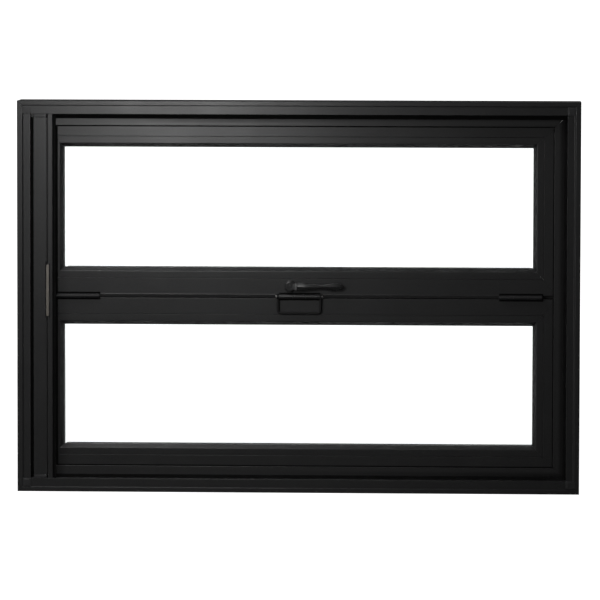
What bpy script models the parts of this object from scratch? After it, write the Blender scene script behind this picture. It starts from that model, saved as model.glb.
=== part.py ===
"""A bi-fold window in its frame. Two glazed sashes, one above the other, fold outwards and up. A lever drives
two bolts, a bail hangs on the middle hinge, and an insect screen pulls across from the left.

Blender's units are metres and +Z is up. The origin is at the middle of the frame's underside, the room is on
the -Y side and the open air on the +Y side. Lengths here are in millimetres, scaled as each mesh is made.
Two words are used all through: u is a distance in from a member's outer edge, and d is a depth behind the
front of the frame.
"""

import math

import bmesh
import bpy
from mathutils import Vector
from mathutils.geometry import tessellate_polygon

MM = 0.001
GAP = 0.3  # between pieces that touch in the real window
MITRE_GAP = 0.2  # taken off each end of a mitred member, along its length

# Frame
WIDTH, HEIGHT, DEPTH = 1400.0, 975.0, 115.0
OUTER_BAND = 11.0  # raised band round the outside of the frame's face
FACE_DEPTH = 3.0  # how far the rest of the face lies behind that band
OPENING = 33.0  # u of the opening's front wall
STOP_FRONT, STOP_BACK = 34.0, 40.0
RAIL_STOP, JAMB_STOP = 62.0, 65.0
RAIL_REVEAL, JAMB_REVEAL = 41.0, 44.0
WALL = 2.5
BAR_GROOVE_U, BAR_GROOVE = 28.0, (5.0, 14.0)
TRACK_U, TRACK = 34.0, (88.0, 103.0)
BLOCK_D = (0.3, 2.7)  # corner block, front and back
BLOCK_EDGE, BLOCK_CHAMFER = 1.5, 1.5  # its distance from the outer band, and the cut on its upper corners
SILL_FALL_FRONT = 60.0  # the sill's drained slope starts this deep
GASKET_EDGE, GASKET_WIDE, GASKET_THICK = 5.0, 4.0, 1.9

# Sashes
SASH_HALF_WIDTH = 648.0
LOWER_SASH = (51.0, 483.0)
UPPER_SASH = (492.0, 924.0)
SASH_FRONT, SASH_BACK = 43.0, 89.0
STILE_BOX, RAIL_BOX, MEETING_BOX, BEAD_WIDTH = 38.0, 38.0, 40.5, 27.0  # hollow part of each member, and bead
FLANGE = 4.0
BEAD_FACE, BEAD_LIP_D, BEAD_SKIN = 17.0, 54.0, 2.4  # flat width, depth of the lip's front, thickness
BEAD_BACK = 58.0
GLAZING_SEAL = 6.0
GLASS = (60.5, 84.5)
GLASS_EDGE = 46.0
PANE, SPACER, BREATHER_R = 4.0, 9.0, 1.0
SEAL_D = (66.0, 74.0)  # strip between the sashes

# Fold linkage, each axis as (d, z)
MEETING_Z = 487.5
TOP_AXIS = (95.5, 918.0)
MEETING_AXIS = (35.8, MEETING_Z)
GUIDE_AXIS = (95.5, 2 * MEETING_Z - 918.0)
BARREL_R, PIN_BORE_R, PIN_R = 6.85, 3.2, 3.0
LEAF, LEAF_BACK, LEAF_OFF = 2.7, 60.0, 1.5  # thickness, back edge, and distance from the axis's level
END_HINGE_X, END_HINGE_LENGTH = 552.0, 105.0
HINGE_CENTRE_X, MIDDLE_HINGE_X = 1.0, 1.6
MIDDLE_HINGE_LENGTH = 99.0
TOP_HINGE_R, TOP_HINGE_LENGTH, TOP_KNUCKLES = 5.8, 1200.0, 9
TOP_PLATE_HIGH, TOP_NECK, TOP_PLATE, TOP_FRAME_PLATE = 25.0, 13.0, 2.2, 2.5
BAIL_EYE, BAIL_EYE_R, BAIL_ROD_R, BAIL_DROP, BAIL_BEND = 6.5, 6.2, 3.2, 41.0, 8.0
KNOB_R, KNOB_LENGTH = 4.0, 2.4
BRACKET_X, BRACKET_HIGH, BRACKET_PLATE = (600.0, 642.0), 60.0, 3.0
BRACKET_PIN_X = (636.0, 664.0)
SHOE_FRONT_X, SHOE_HALF = 655.0, (6.9, 6.5)  # |x| of the inner face, and half sizes along d and z
SHOE_CHAMFER = 1.5

# Lever, pinion and bolts
HUB = (-21.0, 513.0)  # as (x, z)
HUB_R, HUB_D = 11.4, (27.0, 39.7)
ROSETTE_R, ROSETTE_D = 15.0, (40.0, 42.7)
LEVER_MIDDLE = 31.0  # depth of the lever's and the spindle's origins
LEVER_SECTIONS = (  # reach from the hub, half height, front and back depths
    (4.0, 7.5, 28.0, 33.0),
    (10.8, 9.2, 26.5, 33.0),
    (11.6, 10.0, 23.2, 33.0),
    (17.0, 10.4, 21.4, 32.5),
    (36.0, 9.8, 20.5, 31.0),
    (50.0, 8.6, 20.6, 30.2),
    (64.0, 7.0, 20.9, 29.6),
    (77.0, 5.6, 21.2, 29.0),
    (88.0, 6.4, 20.9, 28.8),
    (100.0, 8.6, 20.4, 28.6),
    (112.0, 10.2, 20.0, 28.6),
    (124.0, 10.0, 20.2, 28.5),
    (132.0, 8.0, 20.9, 28.2),
    (137.0, 5.2, 21.8, 27.6),
    (140.0, 2.0, 23.0, 26.6),
)
SPINDLE_R, SPINDLE_HOLE_R = 4.0, 4.7
SPINDLE_D, STUB_R, STUB_HOLE_R = (31.3, 63.0, 73.0), 3.0, 3.3  # front, step and back of the shaft
GEARBOX_D, GEARBOX_HALF, GEARBOX_WALL = (54.0, 72.0), 30.0, 2.0
PITCH_R, TEETH = 9.0, 12
ADDENDUM, DEDENDUM = 1.0, 1.3
TOOTH_PITCH = 2 * math.pi * PITCH_R / TEETH
TOOTH_ROOT, TOOTH_TIP = 2.5, 1.3  # tooth thickness at each end of its height
BOLT_THICK = 3.8
BOLT_DEPTH = (59.0, 67.0)
PINION_DEPTH = (58.0, 68.0)
BOLT_TIP_X = 647.7
BOLT_CLEAR = 0.7  # round a bolt in the stile's slot
BOLT_HOLE = 3.0  # half height of the hole in the jamb
RACK_GAPS = 6

# Insect screen
CASSETTE_X, CASSETTE_D = (-659.0, -629.0), (2.0, 32.0)
CASSETTE_WALL, CASSETTE_CAP = 1.6, 8.5
CLOTH_SLOT = (7.6, 11.4)
ROLLER_AXIS, ROLL_R, JOURNAL_R = (-644.0, 17.0), 12.0, 3.0  # the axis as (x, d)
BAR_X, BAR_D, BAR_WALL = (-624.0, -612.5), (5.5, 13.5), 1.6
PULL_X, PULL_D, PULL_Z = (-628.6, -619.8), (3.4, 5.2), (437.0, 567.0)
PULL_LIP, PULL_LIP_FRONT = 1.6, 0.6
CLOTH_D = (9.2, 9.8)

HALF = WIDTH / 2


# Scene, materials and shape tools


def clear_scene():
    for old in list(bpy.data.objects):
        bpy.data.objects.remove(old, do_unlink=True)


def material(name, colour, roughness, metallic=0.0):
    made = bpy.data.materials.new(name)
    made.use_nodes = True
    shader = made.node_tree.nodes["Principled BSDF"]
    shader.inputs["Base Color"].default_value = (*colour, 1)
    shader.inputs["Roughness"].default_value = roughness
    shader.inputs["Metallic"].default_value = metallic
    return made


def world(x, d, z):
    """A point in metres from x, depth and z in millimetres."""
    return Vector((x, d - DEPTH / 2, z)) * MM


def along_x(a, b, t):
    return world(t, a, b)


def along_depth(a, b, t):
    return world(a, t, b)


def along_z(a, b, t):
    return world(a, b, t)


def new_object(name, shape, colour, origin=None):
    """Turns a bmesh into a named object whose origin is at a point given as (x, d, z)."""
    bmesh.ops.recalc_face_normals(shape, faces=shape.faces)
    place = world(*origin) if origin else Vector((0, 0, 0))
    bmesh.ops.translate(shape, verts=shape.verts, vec=-place)
    mesh = bpy.data.meshes.new(name)
    shape.to_mesh(mesh)
    shape.free()
    mesh.shade_smooth()
    mesh.set_sharp_from_angle(angle=math.radians(32))
    mesh.materials.append(colour)
    made = bpy.data.objects.new(name, mesh)
    made.location = place
    bpy.context.scene.collection.objects.link(made)
    return made


def extrude(outline, holes, place, start, end, slope=0.0):
    """A straight member. Each loop is a list of (a, b), and slope shortens both ends by that much per unit of a."""
    shape = bmesh.new()
    loops = [outline, *holes]
    rings = []
    for loop in loops:
        first = [shape.verts.new(place(a, b, start + slope * a)) for a, b in loop]
        last = [shape.verts.new(place(a, b, end - slope * a)) for a, b in loop]
        for i in range(len(loop)):
            j = (i + 1) % len(loop)
            shape.faces.new((first[i], first[j], last[j], last[i]))
        rings.append((first, last))
    triangles = tessellate_polygon([[Vector((a, b, 0)) for a, b in loop] for loop in loops])
    for side in (0, 1):
        flat = [vert for pair in rings for vert in pair[side]]
        for triangle in triangles:
            shape.faces.new([flat[i] for i in triangle])
    return shape


def circle(centre, radius, count=24, phase=0.0):
    steps = [phase + 2 * math.pi * i / count for i in range(count)]
    return [(centre[0] + radius * math.cos(s), centre[1] + radius * math.sin(s)) for s in steps]


def arc(centre, radius, start_deg, end_deg, count):
    steps = [math.radians(start_deg + (end_deg - start_deg) * i / count) for i in range(count + 1)]
    return [(centre[0] + radius * math.cos(s), centre[1] + radius * math.sin(s)) for s in steps]


def rectangle(a, b):
    return [(a[0], b[0]), (a[1], b[0]), (a[1], b[1]), (a[0], b[1])]


def box(x, d, z):
    return extrude(rectangle(x, d), [], along_z, *z)


def loft(rings):
    """A closed skin over a list of equal rings of points, with a flat cap at each end."""
    shape = bmesh.new()
    made = [[shape.verts.new(world(*point)) for point in ring] for ring in rings]
    for first, second in zip(made, made[1:]):
        for i in range(len(first)):
            j = (i + 1) % len(first)
            shape.faces.new((first[i], first[j], second[j], second[i]))
    shape.faces.new(made[0])
    shape.faces.new(made[-1])
    return shape


def turned(centre, steps, place, count=24):
    """A stepped round pin from a list of (position, radius)."""
    rings = []
    for position, radius in steps:
        rings.append([place(a, b, position) / MM for a, b in circle(centre, radius, count)])
    for ring in rings:
        for point in ring:
            point.y += DEPTH / 2
    return loft(rings)


def combine(base, tool_shape, operation):
    """Joins or cuts an object with a second shape, and keeps only the result."""
    tool = new_object("tool", tool_shape, base.data.materials[0])
    change = base.modifiers.new(operation, "BOOLEAN")
    change.operation = operation
    change.solver = "EXACT"
    change.object = tool
    bpy.context.view_layer.update()
    evaluated = base.evaluated_get(bpy.context.evaluated_depsgraph_get())
    result = bpy.data.meshes.new_from_object(evaluated)
    result.name = base.name
    base.modifiers.clear()
    base.data = result
    bpy.data.objects.remove(tool, do_unlink=True)


def ring_of_four(name, half_width, z, d, thick, colour):
    """A closed rectangular ring, such as a gasket, with its outer edges at half_width and z."""
    outer = rectangle((-half_width, half_width), z)
    inner = rectangle((-half_width + thick, half_width - thick), (z[0] + thick, z[1] - thick))
    return new_object(name, extrude(outer, [inner], along_depth, *d), colour)


def side_places(half_width, z):
    """How (u, d, t) lies for the top, bottom, left and right members of a rectangle, with their lengths."""
    return {
        "top": (lambda u, d, t: world(t, d, z[1] - u), -half_width, half_width),
        "bottom": (lambda u, d, t: world(t, d, z[0] + u), -half_width, half_width),
        "left": (lambda u, d, t: world(-half_width + u, d, t), z[0], z[1]),
        "right": (lambda u, d, t: world(half_width - u, d, t), z[0], z[1]),
    }


def hinge_leaf(name, plate, knuckle, bore, spans, colour, origin=None):
    """A plate with knuckles. plate and knuckle are (d, z) loops that share the edge from each one's last point
    to its first. spans is a list of (start, end, has_knuckle) along X."""
    shape = bmesh.new()
    stations = [spans[0][0]] + [span[1] for span in spans]
    plates = [[shape.verts.new(world(x, *point)) for point in plate] for x in stations]
    for ring in (plates[0], plates[-1]):
        shape.faces.new(ring)
    triangles = tessellate_polygon([[Vector((*point, 0)) for point in loop] for loop in (knuckle, bore)])
    for number, (start, end, has_knuckle) in enumerate(spans):
        near, far = plates[number], plates[number + 1]
        for i in range(len(plate) - 1):
            shape.faces.new((near[i], near[i + 1], far[i + 1], far[i]))
        if not has_knuckle:
            shape.faces.new((near[-1], near[0], far[0], far[-1]))
            continue
        ends = []
        for x, shared in ((start, near), (end, far)):
            middle = [shape.verts.new(world(x, *point)) for point in knuckle[1:-1]]
            rim = [shared[-1], *middle, shared[0]]
            hole = [shape.verts.new(world(x, *point)) for point in bore]
            flat = rim + hole
            for triangle in triangles:
                shape.faces.new([flat[i] for i in triangle])
            ends.append((rim, hole))
        (rim_a, hole_a), (rim_b, hole_b) = ends
        for i in range(len(rim_a) - 1):
            shape.faces.new((rim_a[i], rim_a[i + 1], rim_b[i + 1], rim_b[i]))
        for i in range(len(bore)):
            j = (i + 1) % len(bore)
            shape.faces.new((hole_a[i], hole_a[j], hole_b[j], hole_b[i]))
    return new_object(name, shape, colour, origin)


def knuckle_spans(centre, length, count, own):
    """Splits a hinge into equal knuckles. own picks the even or the odd ones, and the rest is left clear."""
    step = length / count
    start = centre - length / 2
    spans = []
    for number in range(count):
        low, high = start + number * step, start + (number + 1) * step
        mine = number % 2 == own
        low += GAP / 2 if mine and number > 0 else -GAP / 2 if not mine and number > 0 else 0
        high -= GAP / 2 if mine and number < count - 1 else -GAP / 2 if not mine and number < count - 1 else 0
        spans.append((low, high, mine))
    return spans


# Outer frame


def frame_outline(is_jamb, is_sill):
    stop = JAMB_STOP if is_jamb else RAIL_STOP
    reveal = JAMB_REVEAL if is_jamb else RAIL_REVEAL
    front = [(0, 0), (OUTER_BAND, 0), (OUTER_BAND + 1, FACE_DEPTH), (OPENING, FACE_DEPTH)]
    if not is_jamb:
        front += [(OPENING, BAR_GROOVE[0]), (BAR_GROOVE_U, BAR_GROOVE[0])]
        front += [(BAR_GROOVE_U, BAR_GROOVE[1]), (OPENING, BAR_GROOVE[1])]
    middle = [(OPENING, STOP_FRONT), (stop, STOP_FRONT), (stop, STOP_BACK), (reveal, STOP_BACK)]
    if is_jamb:
        back = [(reveal, TRACK[0]), (TRACK_U, TRACK[0]), (TRACK_U, TRACK[1]), (reveal, TRACK[1]), (reveal, DEPTH)]
    elif is_sill:
        back = [(reveal, SILL_FALL_FRONT), (OPENING, DEPTH)]
    else:
        back = [(reveal, DEPTH)]
    return front + middle + back + [(0, DEPTH)]


def frame_chambers(is_jamb, is_sill):
    inner = OPENING - WALL if is_jamb else BAR_GROOVE_U - WALL
    reveal = (JAMB_REVEAL if is_jamb else RAIL_REVEAL) - WALL
    front = rectangle((WALL, inner), (FACE_DEPTH + WALL, STOP_BACK - WALL))
    start, end = STOP_BACK + WALL, DEPTH - WALL
    if is_jamb:
        cut = TRACK_U - WALL
        shape = [(reveal, start), (reveal, TRACK[0] - WALL), (cut, TRACK[0] - WALL), (cut, end)]
    elif is_sill:
        shape = [(reveal, start), (reveal, SILL_FALL_FRONT), (OPENING - WALL, end)]
    else:
        shape = [(reveal, start), (reveal, end)]
    return [front, [(WALL, start), *shape, (WALL, end)]]


def build_frame():
    places = side_places(HALF, (0, HEIGHT))
    names = {"top": "frame_head", "bottom": "frame_sill", "left": "frame_jamb_left", "right": "frame_jamb_right"}
    made = {}
    for side, name in names.items():
        place, start, end = places[side]
        kind = (side in ("left", "right"), side == "bottom")
        shape = extrude(frame_outline(*kind), frame_chambers(*kind), place, start + MITRE_GAP, end - MITRE_GAP, 1)
        made[side] = new_object(name, shape, BLACK_COAT)
    middle = sum(BOLT_DEPTH) / 2
    for side, sign, z in (("left", -1, bolt_z("left")), ("right", 1, bolt_z("right"))):
        x = sorted((sign * (HALF - JAMB_REVEAL + WALL + 2), sign * (HALF - JAMB_REVEAL - 2)))
        hole = box(x, (middle - 5, middle + 5), (z - BOLT_HOLE, z + BOLT_HOLE))
        combine(made[side], hole, "DIFFERENCE")
    inner = OUTER_BAND + BLOCK_EDGE
    for x_name, x_sign in (("left", -1), ("right", 1)):
        for z_name, low in (("top", HEIGHT - OPENING), ("bottom", inner)):
            near, far = sorted((x_sign * (HALF - inner), x_sign * (HALF - OPENING)))
            high = low + OPENING - inner - GAP
            shoulder = high - BLOCK_CHAMFER
            outline = [(near, low), (far, low), (far, shoulder), (far - BLOCK_CHAMFER, high)]
            outline += [(near + BLOCK_CHAMFER, high), (near, shoulder)]
            shape = extrude(outline, [], along_depth, *BLOCK_D)
            new_object(f"corner_block_{z_name}_{x_name}", shape, CORNER_COAT)
    ring_of_four(
        "frame_gasket",
        HALF - JAMB_STOP + GASKET_EDGE,
        (RAIL_STOP - GASKET_EDGE, HEIGHT - RAIL_STOP + GASKET_EDGE),
        (STOP_BACK + GAP, STOP_BACK + GAP + GASKET_THICK),
        GASKET_WIDE,
        RUBBER,
    )


# Sashes


def build_glass(name, half, z):
    """Two panes and the spacer between them, with a breather hole through the spacer's lower edge."""
    unit = new_object(name, box((-half, half), GLASS, z), CLEAR_GLASS)
    space = (GLASS[0] + PANE, GLASS[1] - PANE)
    inside = box((-half + SPACER, half - SPACER), space, (z[0] + SPACER, z[1] - SPACER))
    combine(unit, inside, "DIFFERENCE")
    middle = (half - 60, sum(space) / 2)
    combine(unit, extrude(circle(middle, BREATHER_R, 8), [], along_z, z[0] - 1, z[0] + SPACER + 1), "DIFFERENCE")


def build_sash(prefix, z, meeting_side):
    places = side_places(SASH_HALF_WIDTH, z)
    names = {"top": "rail_top", "bottom": "rail_bottom", "left": "stile_left", "right": "stile_right"}
    boxes = {"top": RAIL_BOX, "bottom": RAIL_BOX, "left": STILE_BOX, "right": STILE_BOX, meeting_side: MEETING_BOX}
    made = {}
    for side, name in names.items():
        place, start, end = places[side]
        size = boxes[side]
        edge = size + BEAD_WIDTH
        outline = [(0, SASH_FRONT), (size, SASH_FRONT), (size, SASH_BACK - FLANGE)]
        outline += [(edge, SASH_BACK - FLANGE), (edge, SASH_BACK), (0, SASH_BACK)]
        chamber = rectangle((WALL, size - WALL), (SASH_FRONT + WALL, SASH_BACK - WALL))
        shape = extrude(outline, [chamber], place, start + MITRE_GAP, end - MITRE_GAP, 1)
        made[side] = new_object(f"{prefix}_{name}", shape, BLACK_COAT)
    inset_z = (z[0] + boxes["bottom"] + GAP, z[1] - boxes["top"] - GAP)
    bead_places = side_places(SASH_HALF_WIDTH - STILE_BOX - GAP, inset_z)
    wide = BEAD_WIDTH - GAP
    front = SASH_FRONT + GAP
    lip = wide - BEAD_SKIN
    bead = [(0, front), (BEAD_FACE, front), (wide, BEAD_LIP_D), (wide, BEAD_BACK), (lip, BEAD_BACK)]
    bead += [(lip, BEAD_LIP_D + 1), (BEAD_FACE - 1, front + BEAD_SKIN), (BEAD_SKIN, front + BEAD_SKIN)]
    bead += [(BEAD_SKIN, BEAD_BACK), (0, BEAD_BACK)]
    for side in names:
        place, start, end = bead_places[side]
        shape = extrude(bead, [], place, start + MITRE_GAP, end - MITRE_GAP, 1)
        new_object(f"{prefix}_bead_{side}", shape, BLACK_COAT)
    build_glass(f"{prefix}_glass", SASH_HALF_WIDTH - GLASS_EDGE, (z[0] + GLASS_EDGE, z[1] - GLASS_EDGE))
    rim = BEAD_WIDTH - GLAZING_SEAL
    ring_of_four(
        f"{prefix}_glazing_gasket",
        SASH_HALF_WIDTH - STILE_BOX - rim,
        (z[0] + boxes["bottom"] + rim, z[1] - boxes["top"] - rim),
        (BEAD_BACK + GAP, GLASS[0] - GAP),
        GLAZING_SEAL,
        RUBBER,
    )
    return made


# Hinges


def build_seam_hinge(name, centre, length, has_bail):
    d, z = MEETING_AXIS
    bore = circle(MEETING_AXIS, PIN_BORE_R, 20)
    low, high = LEAF_OFF, LEAF_OFF + LEAF  # the leaf's faces above the axis
    root = d + BARREL_R + GAP
    for leaf, sign, own in (("upper", 1, 1), ("lower", -1, 0)):
        plate = [(root, z + sign * low), (LEAF_BACK, z + sign * low)]
        plate += [(LEAF_BACK, z + sign * high), (root, z + sign * high)]
        start = math.degrees(math.asin(high / BARREL_R))
        end = 360 + math.degrees(math.asin(low / BARREL_R))
        ring = arc(MEETING_AXIS, BARREL_R, sign * start, sign * end, 24)
        knuckle = [(root, z + sign * high), *ring, (root, z + sign * low)]
        spans = knuckle_spans(centre, length, 3, own)
        hinge_leaf(f"{name}_{leaf}_leaf", plate, knuckle, bore, spans, BLACK_HARDWARE, (centre, d, z))
    half = length / 2
    if has_bail:
        half += BAIL_EYE + 2 * GAP
    steps = [(centre - half - KNOB_LENGTH, 2.6), (centre - half - KNOB_LENGTH + 0.8, KNOB_R)]
    steps += [(centre - half, KNOB_R), (centre - half, PIN_R)]
    steps += [(2 * centre - position, radius) for position, radius in reversed(steps)]
    new_object(f"{name}_pin", turned(MEETING_AXIS, steps, along_x), STEEL, (centre, d, z))


def build_top_hinge():
    d, z = TOP_AXIS
    radius = TOP_HINGE_R
    bore = circle(TOP_AXIS, PIN_BORE_R, 20)
    face = SASH_BACK + GAP
    neck = z - TOP_NECK
    back, low = face + TOP_PLATE, neck - TOP_PLATE_HIGH
    plate = [(face, neck), (face, low), (back, low), (back, neck)]
    knuckle = [(back, neck), *arc(TOP_AXIS, radius, -135, 175, 24), (face, z), (face, neck)]
    spans = knuckle_spans(0, TOP_HINGE_LENGTH, TOP_KNUCKLES, 1)
    hinge_leaf("top_hinge_sash_leaf", plate, knuckle, bore, spans, BLACK_HARDWARE, (0, d, z))
    under = HEIGHT - RAIL_REVEAL - GAP
    near, low, back = d + 1.5, under - TOP_FRAME_PLATE, d + 17
    plate = [(near + 2.5, low), (back, low), (back, under), (near, under), (near, low)]
    knuckle = [(near, low), *arc(TOP_AXIS, radius, 75, 405, 24), (near + 2.5, low)]
    spans = knuckle_spans(0, TOP_HINGE_LENGTH, TOP_KNUCKLES, 0)
    hinge_leaf("top_hinge_frame_leaf", plate, knuckle, bore, spans, BLACK_HARDWARE)
    half = TOP_HINGE_LENGTH / 2
    steps = [(-half - 2, 4.0), (-half - GAP, 4.0), (-half - GAP, PIN_R)]
    steps += [(-position, r) for position, r in reversed(steps)]
    new_object("top_hinge_pin", turned(TOP_AXIS, steps, along_x), STEEL, (0, d, z))


def build_bail():
    d, z = MEETING_AXIS
    out = MIDDLE_HINGE_LENGTH / 2 + GAP + BAIL_EYE / 2
    bore = circle(MEETING_AXIS, PIN_BORE_R + 0.1, 20)
    low, high = z - BAIL_DROP, z - 4.8
    left, right = MIDDLE_HINGE_X - out, MIDDLE_HINGE_X + out
    path = [(left, high)]
    path += arc((left + BAIL_BEND, low + BAIL_BEND), BAIL_BEND, 180, 270, 8)
    path += arc((right - BAIL_BEND, low + BAIL_BEND), BAIL_BEND, 270, 360, 8)
    path += [(right, high)]
    rings = []
    for i, (x, height) in enumerate(path):
        before, after = path[max(i - 1, 0)], path[min(i + 1, len(path) - 1)]
        run, rise = after[0] - before[0], after[1] - before[1]
        size = math.hypot(run, rise)
        side = (-rise / size, run / size)
        ring = []
        for a, b in circle((0, 0), BAIL_ROD_R, 16):
            ring.append((x + side[0] * a, d + b, height + side[1] * a))
        rings.append(ring)
    bail = new_object("pull_bail", loft(rings), BLACK_HARDWARE, (MIDDLE_HINGE_X, d, z))
    for x in (left, right):
        eye = extrude(
            circle(MEETING_AXIS, BAIL_EYE_R), [bore], along_x, x - BAIL_EYE / 2 + 0.05, x + BAIL_EYE / 2 - 0.05
        )
        combine(bail, eye, "UNION")


def build_guides():
    """The brackets on the lower sash's outer face, and the shoes that run up the jambs' tracks."""
    d, z = GUIDE_AXIS
    face = SASH_BACK + GAP
    for name, sign in (("left", -1), ("right", 1)):
        x = sorted(sign * end for end in BRACKET_X)
        back, top = face + BRACKET_PLATE, z + BRACKET_HIGH
        outline = [(face, z - 5), (d + 5, z - 5), (d + 5, z + 5), (back, z + 9), (back, top), (face, top)]
        bracket = new_object(f"guide_bracket_{name}", extrude(outline, [], along_x, *x), BLACK_HARDWARE, (0, d, z))
        pin = turned(GUIDE_AXIS, [(end, PIN_R) for end in sorted(sign * end for end in BRACKET_PIN_X)], along_x)
        combine(bracket, pin, "UNION")
        (a, b), cut = SHOE_HALF, SHOE_CHAMFER
        outline = [(d - a, z - b + cut), (d - a + cut, z - b), (d + a - cut, z - b), (d + a, z - b + cut)]
        outline += [(d + a, z + b - cut), (d + a - cut, z + b), (d - a + cut, z + b), (d - a, z + b - cut)]
        x = sorted((sign * SHOE_FRONT_X, sign * (HALF - TRACK_U - 2 * GAP)))
        shape = extrude(outline, [circle(GUIDE_AXIS, PIN_R + GAP, 20)], along_x, *x)
        new_object(f"guide_shoe_{name}", shape, NYLON, (sign * 660, d, z))


# Lever, pinion and bolts


def bolt_z(side):
    """The middle height of a bolt's bar, above or below the pinion."""
    away = PITCH_R + DEDENDUM + BOLT_THICK / 2
    return HUB[1] + (away if side == "left" else -away)


def build_bolt(side):
    """A flat bar with rack teeth on the edge that faces the pinion."""
    sign = -1 if side == "left" else 1
    toward = -1 if side == "left" else 1  # which way its teeth point
    root = HUB[1] - toward * (PITCH_R + DEDENDUM)
    tip = root + toward * (ADDENDUM + DEDENDUM)
    outer = root - toward * BOLT_THICK
    outline = []
    for number in range(-RACK_GAPS + 1, 2):
        middle = HUB[0] + sign * (number - 0.5) * TOOTH_PITCH
        for half, height in ((TOOTH_ROOT, root), (TOOTH_TIP, tip), (-TOOTH_TIP, tip), (-TOOTH_ROOT, root)):
            outline.append((middle - sign * half / 2, height))
    start = HUB[0] - sign * ((RACK_GAPS - 0.5) * TOOTH_PITCH + 3)
    end = sign * BOLT_TIP_X
    outline += [(end - sign * 2, root), (end, root - toward), (end, outer + toward), (end - sign * 2, outer)]
    outline += [(start, outer), (start, root)]
    origin = (0, sum(BOLT_DEPTH) / 2, bolt_z(side))
    new_object(f"bolt_{side}", extrude(outline, [], along_depth, *BOLT_DEPTH), STEEL, origin)


def build_spindle():
    """A pinion with its shaft through it."""
    x, z = HUB
    teeth = []
    step = 2 * math.pi / TEETH
    for number in range(TEETH):
        middle = math.pi / 2 + number * step
        for half, radius in (
            (-TOOTH_ROOT, PITCH_R - DEDENDUM),
            (-TOOTH_TIP, PITCH_R + ADDENDUM),
            (TOOTH_TIP, PITCH_R + ADDENDUM),
            (TOOTH_ROOT, PITCH_R - DEDENDUM),
        ):
            angle = middle + half / 2 / radius
            teeth.append((x + radius * math.cos(angle), z + radius * math.sin(angle)))
    pinion = extrude(teeth, [], along_depth, *PINION_DEPTH)
    spindle = new_object("lever_spindle", pinion, STEEL, (x, LEVER_MIDDLE, z))
    front, step_d, back = SPINDLE_D
    shaft = [(front, SPINDLE_R - 0.5), (front + 0.5, SPINDLE_R), (step_d, SPINDLE_R), (step_d, STUB_R), (back, STUB_R)]
    combine(spindle, turned(HUB, shaft, along_depth), "UNION")


def build_lever():
    """A round hub and an arm whose section changes along its length, with a ridge down its front."""
    x, z = HUB
    hub = turned(HUB, [(HUB_D[0], HUB_R - 1), (HUB_D[0] + 1, HUB_R), (HUB_D[1], HUB_R)], along_depth, 40)
    lever = new_object("lever_handle", hub, BLACK_HARDWARE, (x, LEVER_MIDDLE, z))
    arm = []
    for reach, half, front, back in LEVER_SECTIONS:
        at = x + reach
        soft = min(1.8, (back - front) * 0.3)
        ring = [(at, front, z), (at, front + soft, z + 0.75 * half), (at, front + 2.4 * soft, z + half)]
        ring += [(at, back, z + 0.8 * half), (at, back, z - 0.8 * half)]
        ring += [(at, front + 2.4 * soft, z - half), (at, front + soft, z - 0.75 * half)]
        arm.append(ring)
    combine(lever, loft(arm), "UNION")
    bore = extrude(circle(HUB, SPINDLE_R + GAP), [], along_depth, LEVER_MIDDLE, HUB_D[1] + 2)
    combine(lever, bore, "DIFFERENCE")


def build_lock(upper):
    """The lever with its spindle, rosette and gearbox, and the holes that they need in the sash."""
    x, z = HUB
    slot_d = (BOLT_DEPTH[0] - 1.5, BOLT_DEPTH[1] + 1.5)
    slot_half = BOLT_THICK / 2 + BOLT_CLEAR
    for side, sign in (("left", -1), ("right", 1)):
        span = sorted((sign * (SASH_HALF_WIDTH - WALL - 2), sign * (SASH_HALF_WIDTH + 2)))
        height = bolt_z(side)
        slot = box(span, slot_d, (height - slot_half, height + slot_half))
        combine(upper[side], slot, "DIFFERENCE")
    hole = extrude(circle(HUB, SPINDLE_HOLE_R), [], along_depth, SASH_FRONT - 2, SASH_FRONT + WALL + 2)
    combine(upper["bottom"], hole, "DIFFERENCE")

    floor, top = UPPER_SASH[0] + WALL + GAP, UPPER_SASH[0] + RAIL_BOX - WALL - GAP
    front, back = GEARBOX_D
    wall = GEARBOX_WALL
    channel = [(front, floor), (back, floor), (back, top), (back - wall, top), (back - wall, floor + wall)]
    channel += [(front + wall, floor + wall), (front + wall, top), (front, top)]
    gearbox = extrude(channel, [], along_x, x - GEARBOX_HALF, x + GEARBOX_HALF)
    gearbox = new_object("lock_gearbox", gearbox, STEEL)
    for radius, wall_d in ((SPINDLE_HOLE_R, front), (STUB_HOLE_R, back - wall)):
        hole = extrude(circle(HUB, radius), [], along_depth, wall_d - 2, wall_d + wall + 2)
        combine(gearbox, hole, "DIFFERENCE")

    plate = extrude(circle(HUB, ROSETTE_R, 48), [circle(HUB, SPINDLE_HOLE_R)], along_depth, *ROSETTE_D)
    new_object("lever_rosette", plate, BLACK_HARDWARE, (x, ROSETTE_D[0], z))
    build_spindle()
    build_lever()


# Insect screen


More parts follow.
